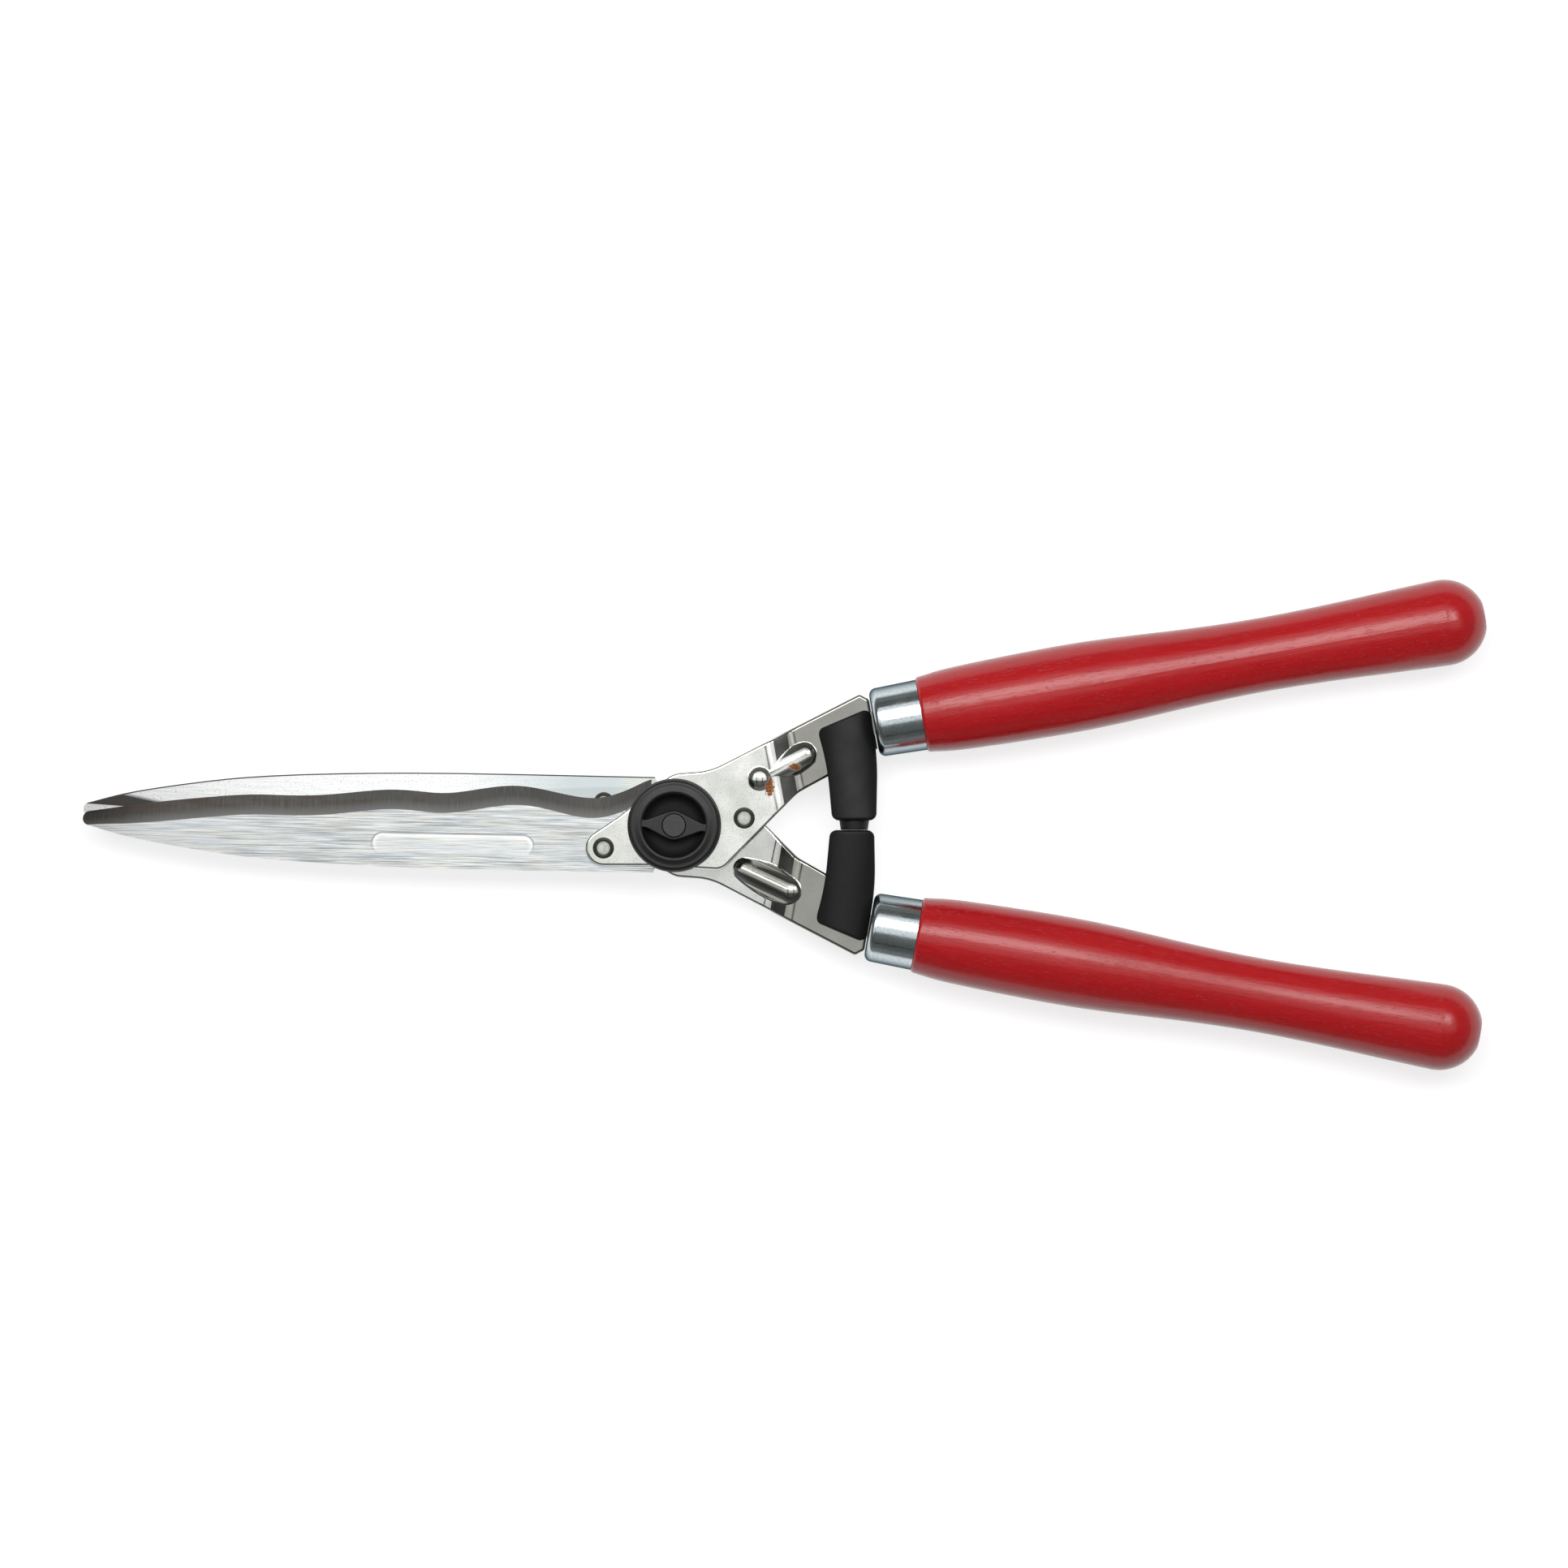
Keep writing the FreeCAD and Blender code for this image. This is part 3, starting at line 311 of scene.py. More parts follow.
def painted_beech(name, angle):
    """Red gloss paint over grain that runs at this angle to X."""
    material, tree, place = start_material(name)
    along = add(tree, "Mapping", {"Vector": place, "Rotation": (0, 0, -angle)})
    grain = patches(tree, along, GRAIN, detail=4.0)
    cloud = patches(tree, along, CLOUDY_PAINT, shift=7.0)
    pores = patches(tree, along, OPEN_PORES, detail=0.0, shift=3.0)
    pore = add(tree, "MapRange", {"Value": pores, "From Min": 0.74, "From Max": 0.8})
    paint = laid_over(tree, linear("#a8161b"), "#b0191e", grain, 0.3, 0.7)
    paint = laid_over(tree, paint, "#a0151a", cloud, 0.35, 0.75, 0.5)
    paint = laid_over(tree, paint, "#5a0f12", pore, most=0.5)
    roughness = add(tree, "MapRange", {"Value": grain, "From Min": 0.35, "From Max": 0.65,
                                       "To Min": 0.2, "To Max": 0.27})
    relief = add(tree, "Math", {0: grain, 1: pore}, operation="SUBTRACT")
    bump = add(tree, "Bump", {"Height": relief, "Strength": 0.5, "Distance": GRAIN_RELIEF})
    end_material(tree, {"Base Color": paint, "Roughness": roughness, "IOR": 1.5, "Normal": bump,
                        "Specular IOR Level": 0.4, "Coat Weight": 0.17, "Coat Roughness": 0.16})
    return material


print("grain", GRAIN[0], "mm long and", GRAIN[1], "mm wide under the paint")

# %% [markdown]
# ## Ground tool steel
# The blades are hardened carbon steel. The flats are ground lengthwise, which leaves fine bright
# streaks with a breath of blue and straw in them. The bevel along the wavy edge is ground across
# and painted darker, partly for the rougher grind and partly as a painted reflection of the dark
# room it faces. One material holds both: the surface normal tells the flat from the bevel, and the
# height over the meeting plane tells the bevel's foot from its edge. The rings round the rivets are
# painted dark: painted shade in the countersinks, where oil and dirt also stay.

# %% Places on the arms
FRONT, REAR = -1, 1                # which side of the pivot an arm's blade rivet lies on
# In mm from the pivot: the rivet towards the tip, and the one towards the handle
LOBE_RIVET = (27.2, 8.7)
TANG_RIVET = (26.8, 2.8)
SINK_RADIUS = 4.1
SINK_EDGE = 0.1                    # half the width over which the ring of dirt fades
SINK_LEAN = (0.97, 0.93)           # upright part of the normal, from flat plate to countersink
# The rings round the rivets are painted dark: painted shade in the countersinks, with oil and dirt
RING_SHADE_AND_DIRT = "#6c6b64"


def distance_from(tree, place, x, y):
    """The distance in the picture's plane from a spot that is x and y mm from the pivot."""
    spot = add(tree, "CombineXYZ", {"X": pivot.x + x * MM, "Y": pivot.y + y * MM, "Z": 0.0})
    in_plane = add(tree, "VectorMath", {0: place, 1: (1, 1, 0)}, operation="MULTIPLY")
    reach = add(tree, "VectorMath", {0: in_plane, 1: spot}, operation="DISTANCE")
    return reach.outputs["Value"]


def past_line(tree, place, first, second):
    """The distance in metres to the left of a line through two spots in mm from the pivot."""
    along = Vector((second[0] - first[0], second[1] - first[1])).normalized()
    across = Vector((-along.y, along.x, 0.0))
    start = Vector((pivot.x + first[0] * MM, pivot.y + first[1] * MM, 0.0))
    reach = add(tree, "VectorMath", {0: place, 1: across}, operation="DOT_PRODUCT")
    return add(tree, "Math", {0: reach.outputs["Value"], 1: across.dot(start)},
               operation="SUBTRACT")


def upright_share(tree, low, high):
    """From 0 to 1 as the upright part of the surface's normal goes from low to high."""
    normal = add(tree, "SeparateXYZ", {0: add(tree, "TexCoord").outputs["Normal"]}).outputs["Z"]
    upright = add(tree, "Math", {0: normal}, operation="ABSOLUTE")
    return add(tree, "MapRange", {"Value": upright, "From Min": low, "From Max": high})


def distance_from_rivet(tree, place, arm):
    """The distance in the picture's plane from the nearer one of an arm's two rivets."""
    lobe = distance_from(tree, place, -LOBE_RIVET[0], arm * LOBE_RIVET[1])
    tang = distance_from(tree, place, TANG_RIVET[0], -arm * TANG_RIVET[1])
    return add(tree, "Math", {0: lobe, 1: tang}, operation="MINIMUM")


def in_rivet_rings(tree, place, arm):
    """1 in the countersinks of an arm's two rivets, 0 elsewhere."""
    inside = add(tree, "MapRange", {"Value": distance_from_rivet(tree, place, arm),
                                    "From Min": (SINK_RADIUS + SINK_EDGE) * MM,
                                    "From Max": (SINK_RADIUS - SINK_EDGE) * MM})
    return add(tree, "Math", {0: inside, 1: upright_share(tree, *SINK_LEAN)}, operation="MULTIPLY")


def height_from_meeting(tree, place):
    """The distance from the plane where the two blades meet."""
    height = add(tree, "SeparateXYZ", {0: place}).outputs["Z"]
    over = add(tree, "Math", {0: height, 1: pivot.z}, operation="SUBTRACT")
    return add(tree, "Math", {0: over}, operation="ABSOLUTE")


print("rivets", LOBE_RIVET, "and", TANG_RIVET, "mm from the pivot")

# %% [markdown]
# ### The front blade's flat
# This is the broad lower flat in the picture. It is painted paler towards the tip as a painted
# reflection, it is dull at the very end, and a shallow oblong is stamped in it. The stamping is
# only a tenth of a millimetre deep, so the light on its polished rim is painted. A painted
# highlight makes a bright line inside, and painted shade makes a thin dark one outside, both fading
# out towards the oblong's lower edge. Its floor is painted a little paler as a painted reflection.
# Both lines follow one measure, the distance from the oblong's outline.

# %% The front blade's flat
BLADE_LEAN = math.radians(1.15)    # how far the blades' back turns away from X
GRIND_TINTS = (19.0, 0.36, 0.36)   # lengths of the tinted streaks in mm
# Where a tone begins and where it is complete, along X from the pivot
# The flat is painted paler towards the tip: a painted reflection, not a tone of the steel
PAINTED_LIGHT_TIP = (-150.0 * MM, -200.0 * MM)
DULLER_TIP = (-200.0 * MM, -226.0 * MM)
# The stamped oblong, in mm from the pivot
OBLONG_MIDDLE = (-85.2, -7.3)
OBLONG_LENGTH = 61.7
OBLONG_WIDTH = 7.6
# The oblong's floor is painted a little paler, a painted reflection
OBLONG_PAINTED_FLOOR = (0.15 * MM, -0.4 * MM)   # its polished floor, from outside the outline inwards
# For each line of its rim, the first a painted highlight and the second painted shade: how far
# outside the outline it runs and its half width, both in mm, its colour, and how much of it shows
OBLONG_PAINTED_RIM = ((-0.6, 1.3, "#ffffff", 0.55),
              (0.25, 0.5, "#5f635f", 0.6))


def oblong_outline(tree, place):
    """How far outside the oblong a spot lies, and 0 to 1 from the oblong's lower edge upwards,
    which fades the painted rim.
    """
    middle = (pivot.x + OBLONG_MIDDLE[0] * MM, pivot.y + OBLONG_MIDDLE[1] * MM, 0.0)
    local = add(tree, "Mapping", {"Vector": place, "Location": middle,
                                  "Rotation": (0, 0, -BLADE_LEAN)}, vector_type="TEXTURE")
    half_straight = ((OBLONG_LENGTH - OBLONG_WIDTH) / 2 * MM, 0, 0)
    folded = add(tree, "VectorMath", {0: local}, operation="ABSOLUTE")
    beyond = add(tree, "VectorMath", {0: folded, 1: half_straight}, operation="SUBTRACT")
    in_plane = add(tree, "VectorMath", {0: beyond, 1: (1, 1, 0)}, operation="MULTIPLY")
    past_ends = add(tree, "VectorMath", {0: in_plane, 1: (0, 0, 0)}, operation="MAXIMUM")
    reach = add(tree, "VectorMath", {0: past_ends}, operation="LENGTH").outputs["Value"]
    outside = add(tree, "Math", {0: reach, 1: OBLONG_WIDTH / 2 * MM}, operation="SUBTRACT")
    upper = add(tree, "MapRange", {"Value": add(tree, "SeparateXYZ", {0: local}).outputs["Y"],
                                   "From Min": -OBLONG_WIDTH / 2 * MM,
                                   "From Max": OBLONG_WIDTH / 4 * MM})
    return outside, upper


def near(tree, value, middle, reach):
    """1 where a value is at the middle, fading to 0 at its reach to both sides."""
    past = add(tree, "Math", {0: value, 1: middle}, operation="SUBTRACT")
    return add(tree, "MapRange", {"Value": add(tree, "Math", {0: past}, operation="ABSOLUTE"),
                                  "From Min": reach, "From Max": reach * 0.2})


def front_flat(tree, place, along, streaks, from_pivot):
    """Streaked steel with straw and blue tints, a tip painted paler and the stamped oblong with its
    painted rim.
    """
    tints = patches(tree, along, GRIND_TINTS, detail=4.0, shift=5.0)
    steel = laid_over(tree, linear("#878c8e"), "#e6e9e8", streaks, 0.34, 0.62)
    steel = laid_over(tree, steel, "#d5ccb2", tints, 0.54, 0.68, 0.6)
    steel = laid_over(tree, steel, "#a9bccf", tints, 0.46, 0.32, 0.6)
    # Painted reflection: paler towards the tip
    steel = laid_over(tree, steel, "#fbfcfc", from_pivot, *PAINTED_LIGHT_TIP, 0.3)
    steel = laid_over(tree, steel, "#8d8c88", from_pivot, *DULLER_TIP, 0.25)
    outside, upper = oblong_outline(tree, place)
    # Painted reflection on the oblong's floor, then the painted highlight and painted shade of its
    # rim
    steel = laid_over(tree, steel, "#eff1f0", outside, *OBLONG_PAINTED_FLOOR, 0.3)
    for middle, reach, colour, most in OBLONG_PAINTED_RIM:
        line = near(tree, outside, middle * MM, reach * MM)
        rim = add(tree, "Math", {0: line, 1: upper}, operation="MULTIPLY")
        steel = laid_over(tree, steel, colour, rim, most=most)
    return steel


print("oblong", OBLONG_LENGTH, "by", OBLONG_WIDTH, "mm")

# %% [markdown]
# ### The rear blade's flat
# Of the rear blade the picture shows the hollow-ground inner side, a narrow bright strip. It is
# cooler and greyer next to the pivot, where round marks are left by the grinding of the heel. At
# the tip a relief is ground away beside a bright land. The relief's tilted face is not in the
# shape, so its darkness is painted shade. A straight line through two spots bounds each of them.

# %% The rear blade's flat
# Where a tone begins and where it is complete, along X from the pivot
COOLER_HEEL = (-85.0 * MM, -40.0 * MM)
HEEL_MARKS = (-24.0 * MM, -14.0 * MM)
# Places in mm from the pivot
HEEL_GRIND = (-18.5, 5.9)                          # middle of the round marks
# The relief's darkness is painted shade of its tilted face, which the shape lacks
RELIEF_EDGE = ((-212.5, 12.1), (-198.2, 9.0))      # where the dark relief at the tip begins
LAND_EDGE = ((-225.3, 8.3), (-211.9, 7.3))         # where the bright land beside it begins
RELIEF_FADE = (0.9 * MM, -0.5 * MM)
LAND_FADE = (-0.1 * MM, 0.15 * MM)
GRIND_STEP = 0.8                   # mm between marks: real ones are twice as fine, too fine to show


def rear_flat(tree, place, streaks, from_pivot):
    """Bright steel with tiny pits, round marks at the heel and painted shade on the relief at the
    tip.
    """
    steel = laid_over(tree, linear("#e3e7e6"), "#fbfcfb", streaks, 0.3, 0.6)
    pits = patches(tree, place, (0.7, 0.7, 0.7), detail=1.0, shift=6.0)
    steel = laid_over(tree, steel, "#b9bcb8", pits, 0.6, 0.75, 0.6)
    steel = laid_over(tree, steel, "#c3ccce", from_pivot, *COOLER_HEEL, 0.9)
    turns = add(tree, "Math", {0: distance_from(tree, place, *HEEL_GRIND),
                               1: math.tau / (GRIND_STEP * MM)}, operation="MULTIPLY")
    waves = add(tree, "Math", {0: turns}, operation="SINE")
    at_heel = add(tree, "MapRange", {"Value": from_pivot, "From Min": HEEL_MARKS[0],
                                     "From Max": HEEL_MARKS[1]})
    marks = add(tree, "Math", {0: waves, 1: at_heel}, operation="MULTIPLY")
    steel = laid_over(tree, steel, "#efedd6", marks)
    # Painted shade on the relief at the tip, bounded by two lines
    relief_side = add(tree, "MapRange", {"Value": past_line(tree, place, *RELIEF_EDGE),
                                         "From Min": RELIEF_FADE[0], "From Max": RELIEF_FADE[1]})
    land_side = add(tree, "MapRange", {"Value": past_line(tree, place, *LAND_EDGE),
                                       "From Min": LAND_FADE[0], "From Max": LAND_FADE[1]})
    painted_dark_relief = add(tree, "Math", {0: relief_side, 1: land_side}, operation="MULTIPLY")
    return laid_over(tree, steel, "#4f4d4a", painted_dark_relief)


print("round marks every", GRIND_STEP, "mm at the heel")

# %% [markdown]
# ### The bevel, and the whole blade
# The bevel is ground across, so its scratches run from the flat to the edge. Its dark colour is
# partly a painted reflection. It is painted paler at its foot as a painted highlight along the
# crease, and it grows browner towards the tip. The whole blade is the flat and the bevel, chosen by
# how upright the surface is, with the painted shade and dirt of the rivet rings on top.

# %% Ground tool steel
# Lengths of the patterns in mm, along the blade and across it
FLAT_STREAKS = (15.0, 0.24, 0.24)
BEVEL_SCRATCHES = (0.3, 9.0, 9.0)
BEVEL_STAINS = (14.0, 3.0, 3.0)
BROWNER = 1.6                      # how much browner the bevel grows in a metre
# The paler foot is a painted highlight along the crease with the flat
BEVEL_FOOT_HIGHLIGHT = (2.0 * MM, 3.6 * MM)  # height from the meeting plane over which it grows paler
FLAT_LEAN = (0.95, 0.985)          # upright part of the normal, from bevel to flat
BEVEL_ROUGHNESS = 0.36
# For each arm how rough its flat is, and how strongly the streaks stand out
FLAT_FINISH = {FRONT: (0.24, 0.14), REAR: (0.2, 0.08)}


def bevel_steel(tree, place, along, scratches, from_pivot):
    """Dark steel, partly a painted reflection, scratched across, with a painted highlight at the
    foot and brown stains towards the tip.
    """
    stains = patches(tree, along, BEVEL_STAINS, detail=4.0, shift=9.0)
    # The bevel's dark tones are partly a painted reflection of the dark room it faces
    bevel = laid_over(tree, linear("#535250"), "#6e6d6a", scratches, 0.3, 0.7)
    brown = add(tree, "Math", {0: from_pivot, 1: -BROWNER, 2: stains}, operation="MULTIPLY_ADD")
    bevel = laid_over(tree, bevel, "#5b4a41", brown, 0.68, 0.98, 0.7)
    # Painted highlight: paler towards the bevel's foot
    return laid_over(tree, bevel, "#80807e", height_from_meeting(tree, place), *BEVEL_FOOT_HIGHLIGHT)


def tool_steel(name, arm):
    """Ground steel, streaked lengthwise on the flats and crosswise on the bevel."""
    material, tree, place = start_material(name)
    along = add(tree, "Mapping", {"Vector": place, "Rotation": (0, 0, BLADE_LEAN)})
    x = add(tree, "SeparateXYZ", {0: place}).outputs["X"]
    from_pivot = add(tree, "Math", {0: x, 1: pivot.x}, operation="SUBTRACT")
    streaks = patches(tree, along, FLAT_STREAKS, detail=5.0)
    scratches = patches(tree, along, BEVEL_SCRATCHES, detail=3.0, shift=2.0)
    if arm == FRONT:
        steel = front_flat(tree, place, along, streaks, from_pivot)
    else:
        steel = rear_flat(tree, place, streaks, from_pivot)
    bevel = bevel_steel(tree, place, along, scratches, from_pivot)
    flat = upright_share(tree, *FLAT_LEAN)
    both = add(tree, "Mix", {"Factor": flat, MIX_FIRST: bevel, MIX_SECOND: steel},
               data_type="RGBA")
    # Painted shade with dirt in the rivets' countersinks
    countersink_shade_and_dirt = in_rivet_rings(tree, place, arm)
    colour = laid_over(tree, both.outputs[MIX_RESULT], RING_SHADE_AND_DIRT, countersink_shade_and_dirt)
    flat_roughness, streak_strength = FLAT_FINISH[arm]
    roughness = add(tree, "MapRange", {"Value": flat, "To Min": BEVEL_ROUGHNESS,
                                       "To Max": flat_roughness})
    relief = add(tree, "Mix", {"Factor": flat, 2: scratches, 3: streaks})
    bump = add(tree, "Bump", {"Height": relief, "Strength": streak_strength,
                              "Distance": 0.05 * MM})
    end_material(tree, {"Base Color": colour, "Metallic": 1.0, "Roughness": roughness,
                        "Normal": bump})
    return material


print("streaks", FLAT_STREAKS[0], "mm long on the flats")

# %% [markdown]
# ## Polished stainless plate
# The brackets are stamped from stainless sheet and tumbled bright. Such a plate is a soft mirror:
# the bends of the joggle and the beads show the dark and light parts of the room, and the flats
# show the sky. Close to, it has faint clouds and a pepper of tiny pits. The half next to the handle
# is painted darker, partly a less polished finish and partly painted shade. The rear plate's tones
# are painted darker as painted shade. Two rusty runs show beside the front bead.

# %% Polished stainless plate
# Middle of each rusty run, in mm from the pivot, and half its width and height
RUSTY_RUNS = ((36.7, 14.5, 1.5, 3.0),
              (46.3, 22.4, 2.1, 1.2))
# The distance from a run's middle is counted in half widths, and noise is added to it
RUST_RAGGED = 2.4
RUST_EDGE = (2.55, 2.1)            # clean metal from the first on, all rust up to the second
RUST_ROUGHNESS = 0.8
# Height from the meeting plane: clean from the first on, all painted darker up to the second,
# partly a duller finish and partly painted shade
DULL_AND_SHADED_HEIGHT = (4.2 * MM, 1.9 * MM)
# For each arm the darkest and the lightest tone of its clouds; the rear plate's tones are painted
# darker as painted shade
PLATE_TONES_WITH_REAR_SHADE = {FRONT: ("#d4d6d0", "#ecede9"), REAR: ("#c9cbc8", "#e0e2df")}


def rusty_share(tree, place):
    """1 in the rusty runs and 0 on clean metal, with a ragged edge."""
    ragged = patches(tree, place, (0.7, 1.0, 1.0), detail=5.0, shift=3.0)
    share = 0.0
    for x, y, half_width, half_height in RUSTY_RUNS:
        scale = (1 / (half_width * MM), 1 / (half_height * MM), 0.0)
        start = (-(pivot.x + x * MM) * scale[0], -(pivot.y + y * MM) * scale[1], 0.0)
        run = add(tree, "Mapping", {"Vector": place, "Scale": scale, "Location": start})
        reach = add(tree, "VectorMath", {0: run}, operation="LENGTH").outputs["Value"]
        torn = add(tree, "Math", {0: ragged, 1: RUST_RAGGED, 2: reach}, operation="MULTIPLY_ADD")
        inside = add(tree, "MapRange", {"Value": torn, "From Min": RUST_EDGE[0],
                                        "From Max": RUST_EDGE[1]})
        share = add(tree, "Math", {0: inside, 1: share}, operation="MAXIMUM")
    return share


def stainless_plate(name, arm):
    """Tumble-polished stainless sheet."""
    material, tree, place = start_material(name)
    clouds = patches(tree, place, (11.0, 11.0, 11.0), detail=4.0)
    pits = patches(tree, place, (0.6, 0.6, 0.6), detail=1.0, shift=4.0)
    dark_cloud, light_cloud = PLATE_TONES_WITH_REAR_SHADE[arm]
    plate = laid_over(tree, linear(dark_cloud), light_cloud, clouds, 0.3, 0.7)
    plate = laid_over(tree, plate, "#7e7f7a", pits, 0.56, 0.72, 0.3)
    height = height_from_meeting(tree, place)
    # Partly painted shade: the plate next to the handle painted darker
    plate = laid_over(tree, plate, "#86857e", height, *DULL_AND_SHADED_HEIGHT, 0.85)
    # Painted shade with dirt in the rivets' countersinks
    plate = laid_over(tree, plate, RING_SHADE_AND_DIRT, in_rivet_rings(tree, place, arm))
    roughness = add(tree, "MapRange", {"Value": clouds, "From Min": 0.3, "From Max": 0.7,
                                       "To Min": 0.1, "To Max": 0.17})
    bump = add(tree, "Bump", {"Height": clouds, "Strength": 0.12, "Distance": 0.15 * MM})
    metallic = 1.0
    if arm == FRONT:
        rust = rusty_share(tree, place)
        flakes = patches(tree, place, (0.5, 0.7, 0.7), detail=3.0, shift=1.0)
        plate = laid_over(tree, plate, "#6f3a18", rust)
        light_rust = add(tree, "Math", {0: rust, 1: flakes}, operation="MULTIPLY")
        plate = laid_over(tree, plate, "#b06a33", light_rust, 0.47, 0.68)
        metallic = add(tree, "MapRange", {"Value": rust, "To Min": 1.0, "To Max": 0.0})
        roughness = add(tree, "Mix", {"Factor": rust, 2: roughness, 3: RUST_ROUGHNESS})
    end_material(tree, {"Base Color": plate, "Metallic": metallic, "Roughness": roughness,
                        "Normal": bump})
    return material


print(len(RUSTY_RUNS), "rusty runs on the front plate")

# %% [markdown]
# ## Zinc plate
# The ferrules are cups drawn from sheet steel and plated with bright zinc, which has a cold blue
# cast and a fine haze. Their sides are painted darker and bluer, a painted reflection of the table
# and cards they face. The bolt, its bush and the thrust washer have the same plating.

# %% Bright zinc plate
SIDE_LEAN = (0.62, 0.4)            # upright part of the normal, from the top of a cup to its side


def zinc_plate(name, colour, roughness):
    """Zinc plating with a fine haze, its sides painted darker as a painted reflection."""
    material, tree, place = start_material(name)
    haze = patches(tree, place, (0.8, 0.8, 0.8), detail=3.0)
    clouds = patches(tree, place, (6.0, 6.0, 6.0), shift=6.0)
    plate = laid_over(tree, linear(colour), "#8d979b", haze, 0.35, 0.7, 0.4)
    # Painted reflection: the cups' sides painted darker and bluer
    plate = laid_over(tree, plate, "#8f9aa0", upright_share(tree, *SIDE_LEAN), most=0.7)
    shine = add(tree, "MapRange", {"Value": clouds, "From Min": 0.3, "From Max": 0.7,
                                   "To Min": roughness * 0.8, "To Max": roughness * 1.2})
    bump = add(tree, "Bump", {"Height": haze, "Strength": 0.08, "Distance": 0.1 * MM})
    end_material(tree, {"Base Color": plate, "Metallic": 1.0, "Roughness": shine, "Normal": bump,
                        "Specular Tint": linear("#6a7478")})
    return material


print("cups dull from", round(math.degrees(math.acos(SIDE_LEAN[0]))), "degrees of lean on")

# %% [markdown]
# ## Moulded black plastic and rubber
# Knob and shoes are moulded polyamide. The mould was etched, so the surface is finely grained and
# never quite black in the light. Dust in the knob's dish takes the shine off its floor, and the
# floor is painted darker as painted shade of the deep dish. The buffer between the shoes is softer
# and duller rubber, and the friction washer is black plastic too.

# %% Moulded plastic and rubber
# Below this depth the dish is rougher with dust, and its colour is painted darker as painted shade
DUST_AND_SHADE_DEPTH = 2.5                  # mm under the knob's rim, where the dust begins to lie
DUST_AND_SHADE_FADE = 1.5                   # mm over which it fades out above that
DUSTY_ROUGHNESS = 0.8
ROUGHNESS_SPREAD = 0.05
knob_high = max(corner[2] for corner in frame["nodes"]["knob_body"].bound_box)


def moulded(name, dark, light, roughness, grain_mm, relief_mm, shine=0.5, dust_and_shade_below=None):
    """A moulded black surface with an etched grain, rougher and painted darker below the given
    height.
    """
    material, tree, place = start_material(name)
    grain = patches(tree, place, (grain_mm, grain_mm, grain_mm), detail=2.0)
    clouds = patches(tree, place, (7.0, 7.0, 7.0), detail=2.0, shift=8.0)
    black = laid_over(tree, linear(dark), light, grain, 0.35, 0.7)
    dull = add(tree, "MapRange", {"Value": clouds, "From Min": 0.3, "From Max": 0.7,
                                  "To Min": roughness - ROUGHNESS_SPREAD,
                                  "To Max": roughness + ROUGHNESS_SPREAD})
    if dust_and_shade_below:
        height = add(tree, "SeparateXYZ", {0: place}).outputs["Z"]
        dust_and_shade = add(tree, "MapRange", {"Value": height, "From Min": dust_and_shade_below + DUST_AND_SHADE_FADE * MM,
                                      "From Max": dust_and_shade_below})
        dull = add(tree, "Mix", {"Factor": dust_and_shade, 2: dull, 3: DUSTY_ROUGHNESS})
        # Painted shade: the dish's floor painted nearly black
        black = laid_over(tree, black, "#050505", dust_and_shade)
    bump = add(tree, "Bump", {"Height": grain, "Strength": 0.3, "Distance": relief_mm * MM})
    end_material(tree, {"Base Color": black, "Roughness": dull, "IOR": 1.5, "Normal": bump,
                        "Specular IOR Level": shine})
    return material


print("the knob's rim is", round(knob_high / MM, 1), "mm over the table")

# %% [markdown]
# ## Small metal pieces
# The rivets are plain bright steel, ground flush with the plates. The nut in the knob is brass,
# and the disc spring is blued by its hardening.

# %% Turned and hardened metal
# The rivet's edge is painted darker towards the groove round it: painted shade, with dirt
RIVET_SHADE_AND_DIRT = (1.7 * MM, 2.6 * MM)  # distance from a rivet's middle over which dirt sets in


def plain_metal(name, dark, light, roughness, rivets_of=None):
    """Metal that was turned, with faint clouds in its colour, and painted shade with grime round an
    arm's rivets.
    """
    material, tree, place = start_material(name)
    clouds = patches(tree, place, (1.6, 1.6, 1.6), detail=3.0)
    metal = laid_over(tree, linear(dark), light, clouds, 0.35, 0.65)
    if rivets_of:
        from_rivet = distance_from_rivet(tree, place, rivets_of)
        # Painted shade with dirt towards the rivet's edge
        metal = laid_over(tree, metal, RING_SHADE_AND_DIRT, from_rivet, *RIVET_SHADE_AND_DIRT, 0.7)
    bump = add(tree, "Bump", {"Height": clouds, "Strength": 0.1, "Distance": 0.1 * MM})
    end_material(tree, {"Base Color": metal, "Metallic": 1.0, "Roughness": roughness,
                        "Normal": bump})
    return material


print("rivets dirty from", round(RIVET_SHADE_AND_DIRT[0] / MM, 1), "mm from the middle on")

# %% [markdown]
# ## Dressing the CAD pieces
# Each CAD node keeps its mesh and its place and gets one material. The front and rear pieces of a
# kind share a finish, but their streaks, rivets and grain lie differently, so each has its own.

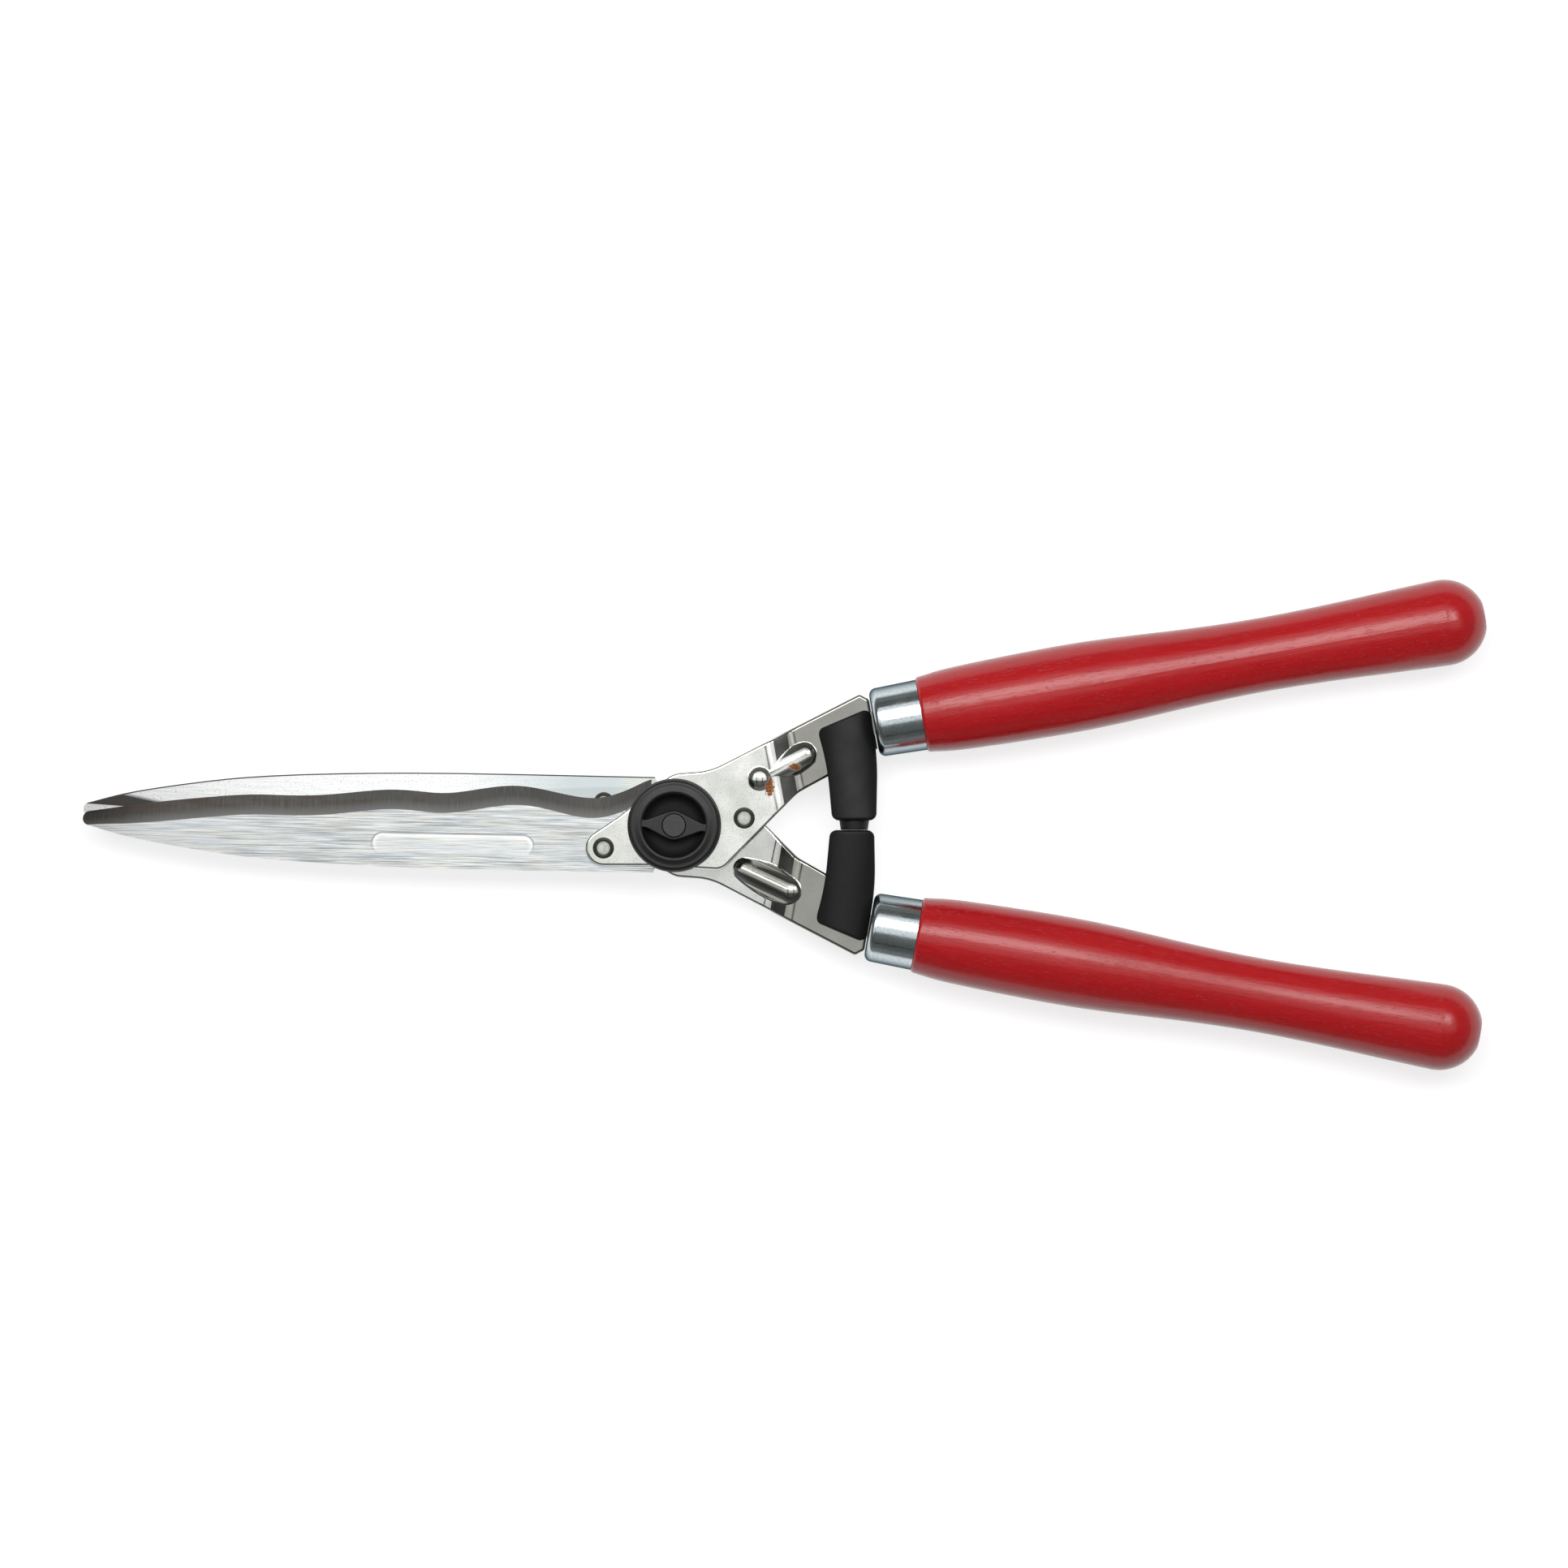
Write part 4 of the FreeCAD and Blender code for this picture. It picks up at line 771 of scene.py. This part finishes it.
# %% Dress the CAD nodes
def dress(material, *names):
    """Gives CAD nodes a material."""
    for name in names:
        mesh = frame["nodes"][name].data
        mesh.materials.clear()
        mesh.materials.append(material)
    print(material.name, "on", ", ".join(names))


dress(tool_steel("ground_steel_front", FRONT), "front_blade")
dress(tool_steel("ground_steel_rear", REAR), "rear_blade")
dress(stainless_plate("tumbled_stainless_front", FRONT), "front_bracket")
dress(stainless_plate("tumbled_stainless_rear", REAR), "rear_bracket")
dress(zinc_plate("bright_zinc_plate", "#cdd6d9", roughness=0.18),
      "front_ferrule", "rear_ferrule")
dress(painted_beech("red_paint_front", HANDLE_ANGLE), "front_handle")
dress(painted_beech("red_paint_rear", -HANDLE_ANGLE), "rear_handle")
dress(moulded("etched_black_polyamide", "#0b0b0b", "#171716", roughness=0.42, grain_mm=0.35,
              relief_mm=0.08, shine=0.4, dust_and_shade_below=knob_high - DUST_AND_SHADE_DEPTH * MM), "knob_body")
dress(moulded("smooth_black_polyamide", "#1a1a19", "#282827", roughness=0.38, grain_mm=0.8,
              relief_mm=0.05), "knob_cap")
dress(moulded("moulded_black_stop", "#0a0a0a", "#131312", roughness=0.5, grain_mm=0.35,
              relief_mm=0.06, shine=0.27), "front_bumper", "rear_bumper")
dress(moulded("black_rubber", "#0c0c0c", "#141414", roughness=0.6, grain_mm=0.6, relief_mm=0.05,
              shine=0.4), "rubber_buffer")
dress(moulded("black_sliding_washer", "#1f1f1f", "#2b2b2b", roughness=0.4, grain_mm=0.6,
              relief_mm=0.03), "friction_washer")
dress(plain_metal("ground_rivets_front", "#999e97", "#b5b9b2", roughness=0.3, rivets_of=FRONT),
      "front_blade_rivets")
dress(plain_metal("ground_rivets_rear", "#999e97", "#b5b9b2", roughness=0.3, rivets_of=REAR),
      "rear_blade_rivets")
dress(zinc_plate("zinc_plated_bolt", "#aeb6b8", roughness=0.28),
      "pivot_bolt", "pivot_bush", "thrust_washer")
dress(plain_metal("hardened_spring_steel", "#5d6064", "#7c7f84", roughness=0.35), "disc_spring")
dress(plain_metal("turned_brass", "#b9923f", "#d2ab5a", roughness=0.3), "knob_nut")
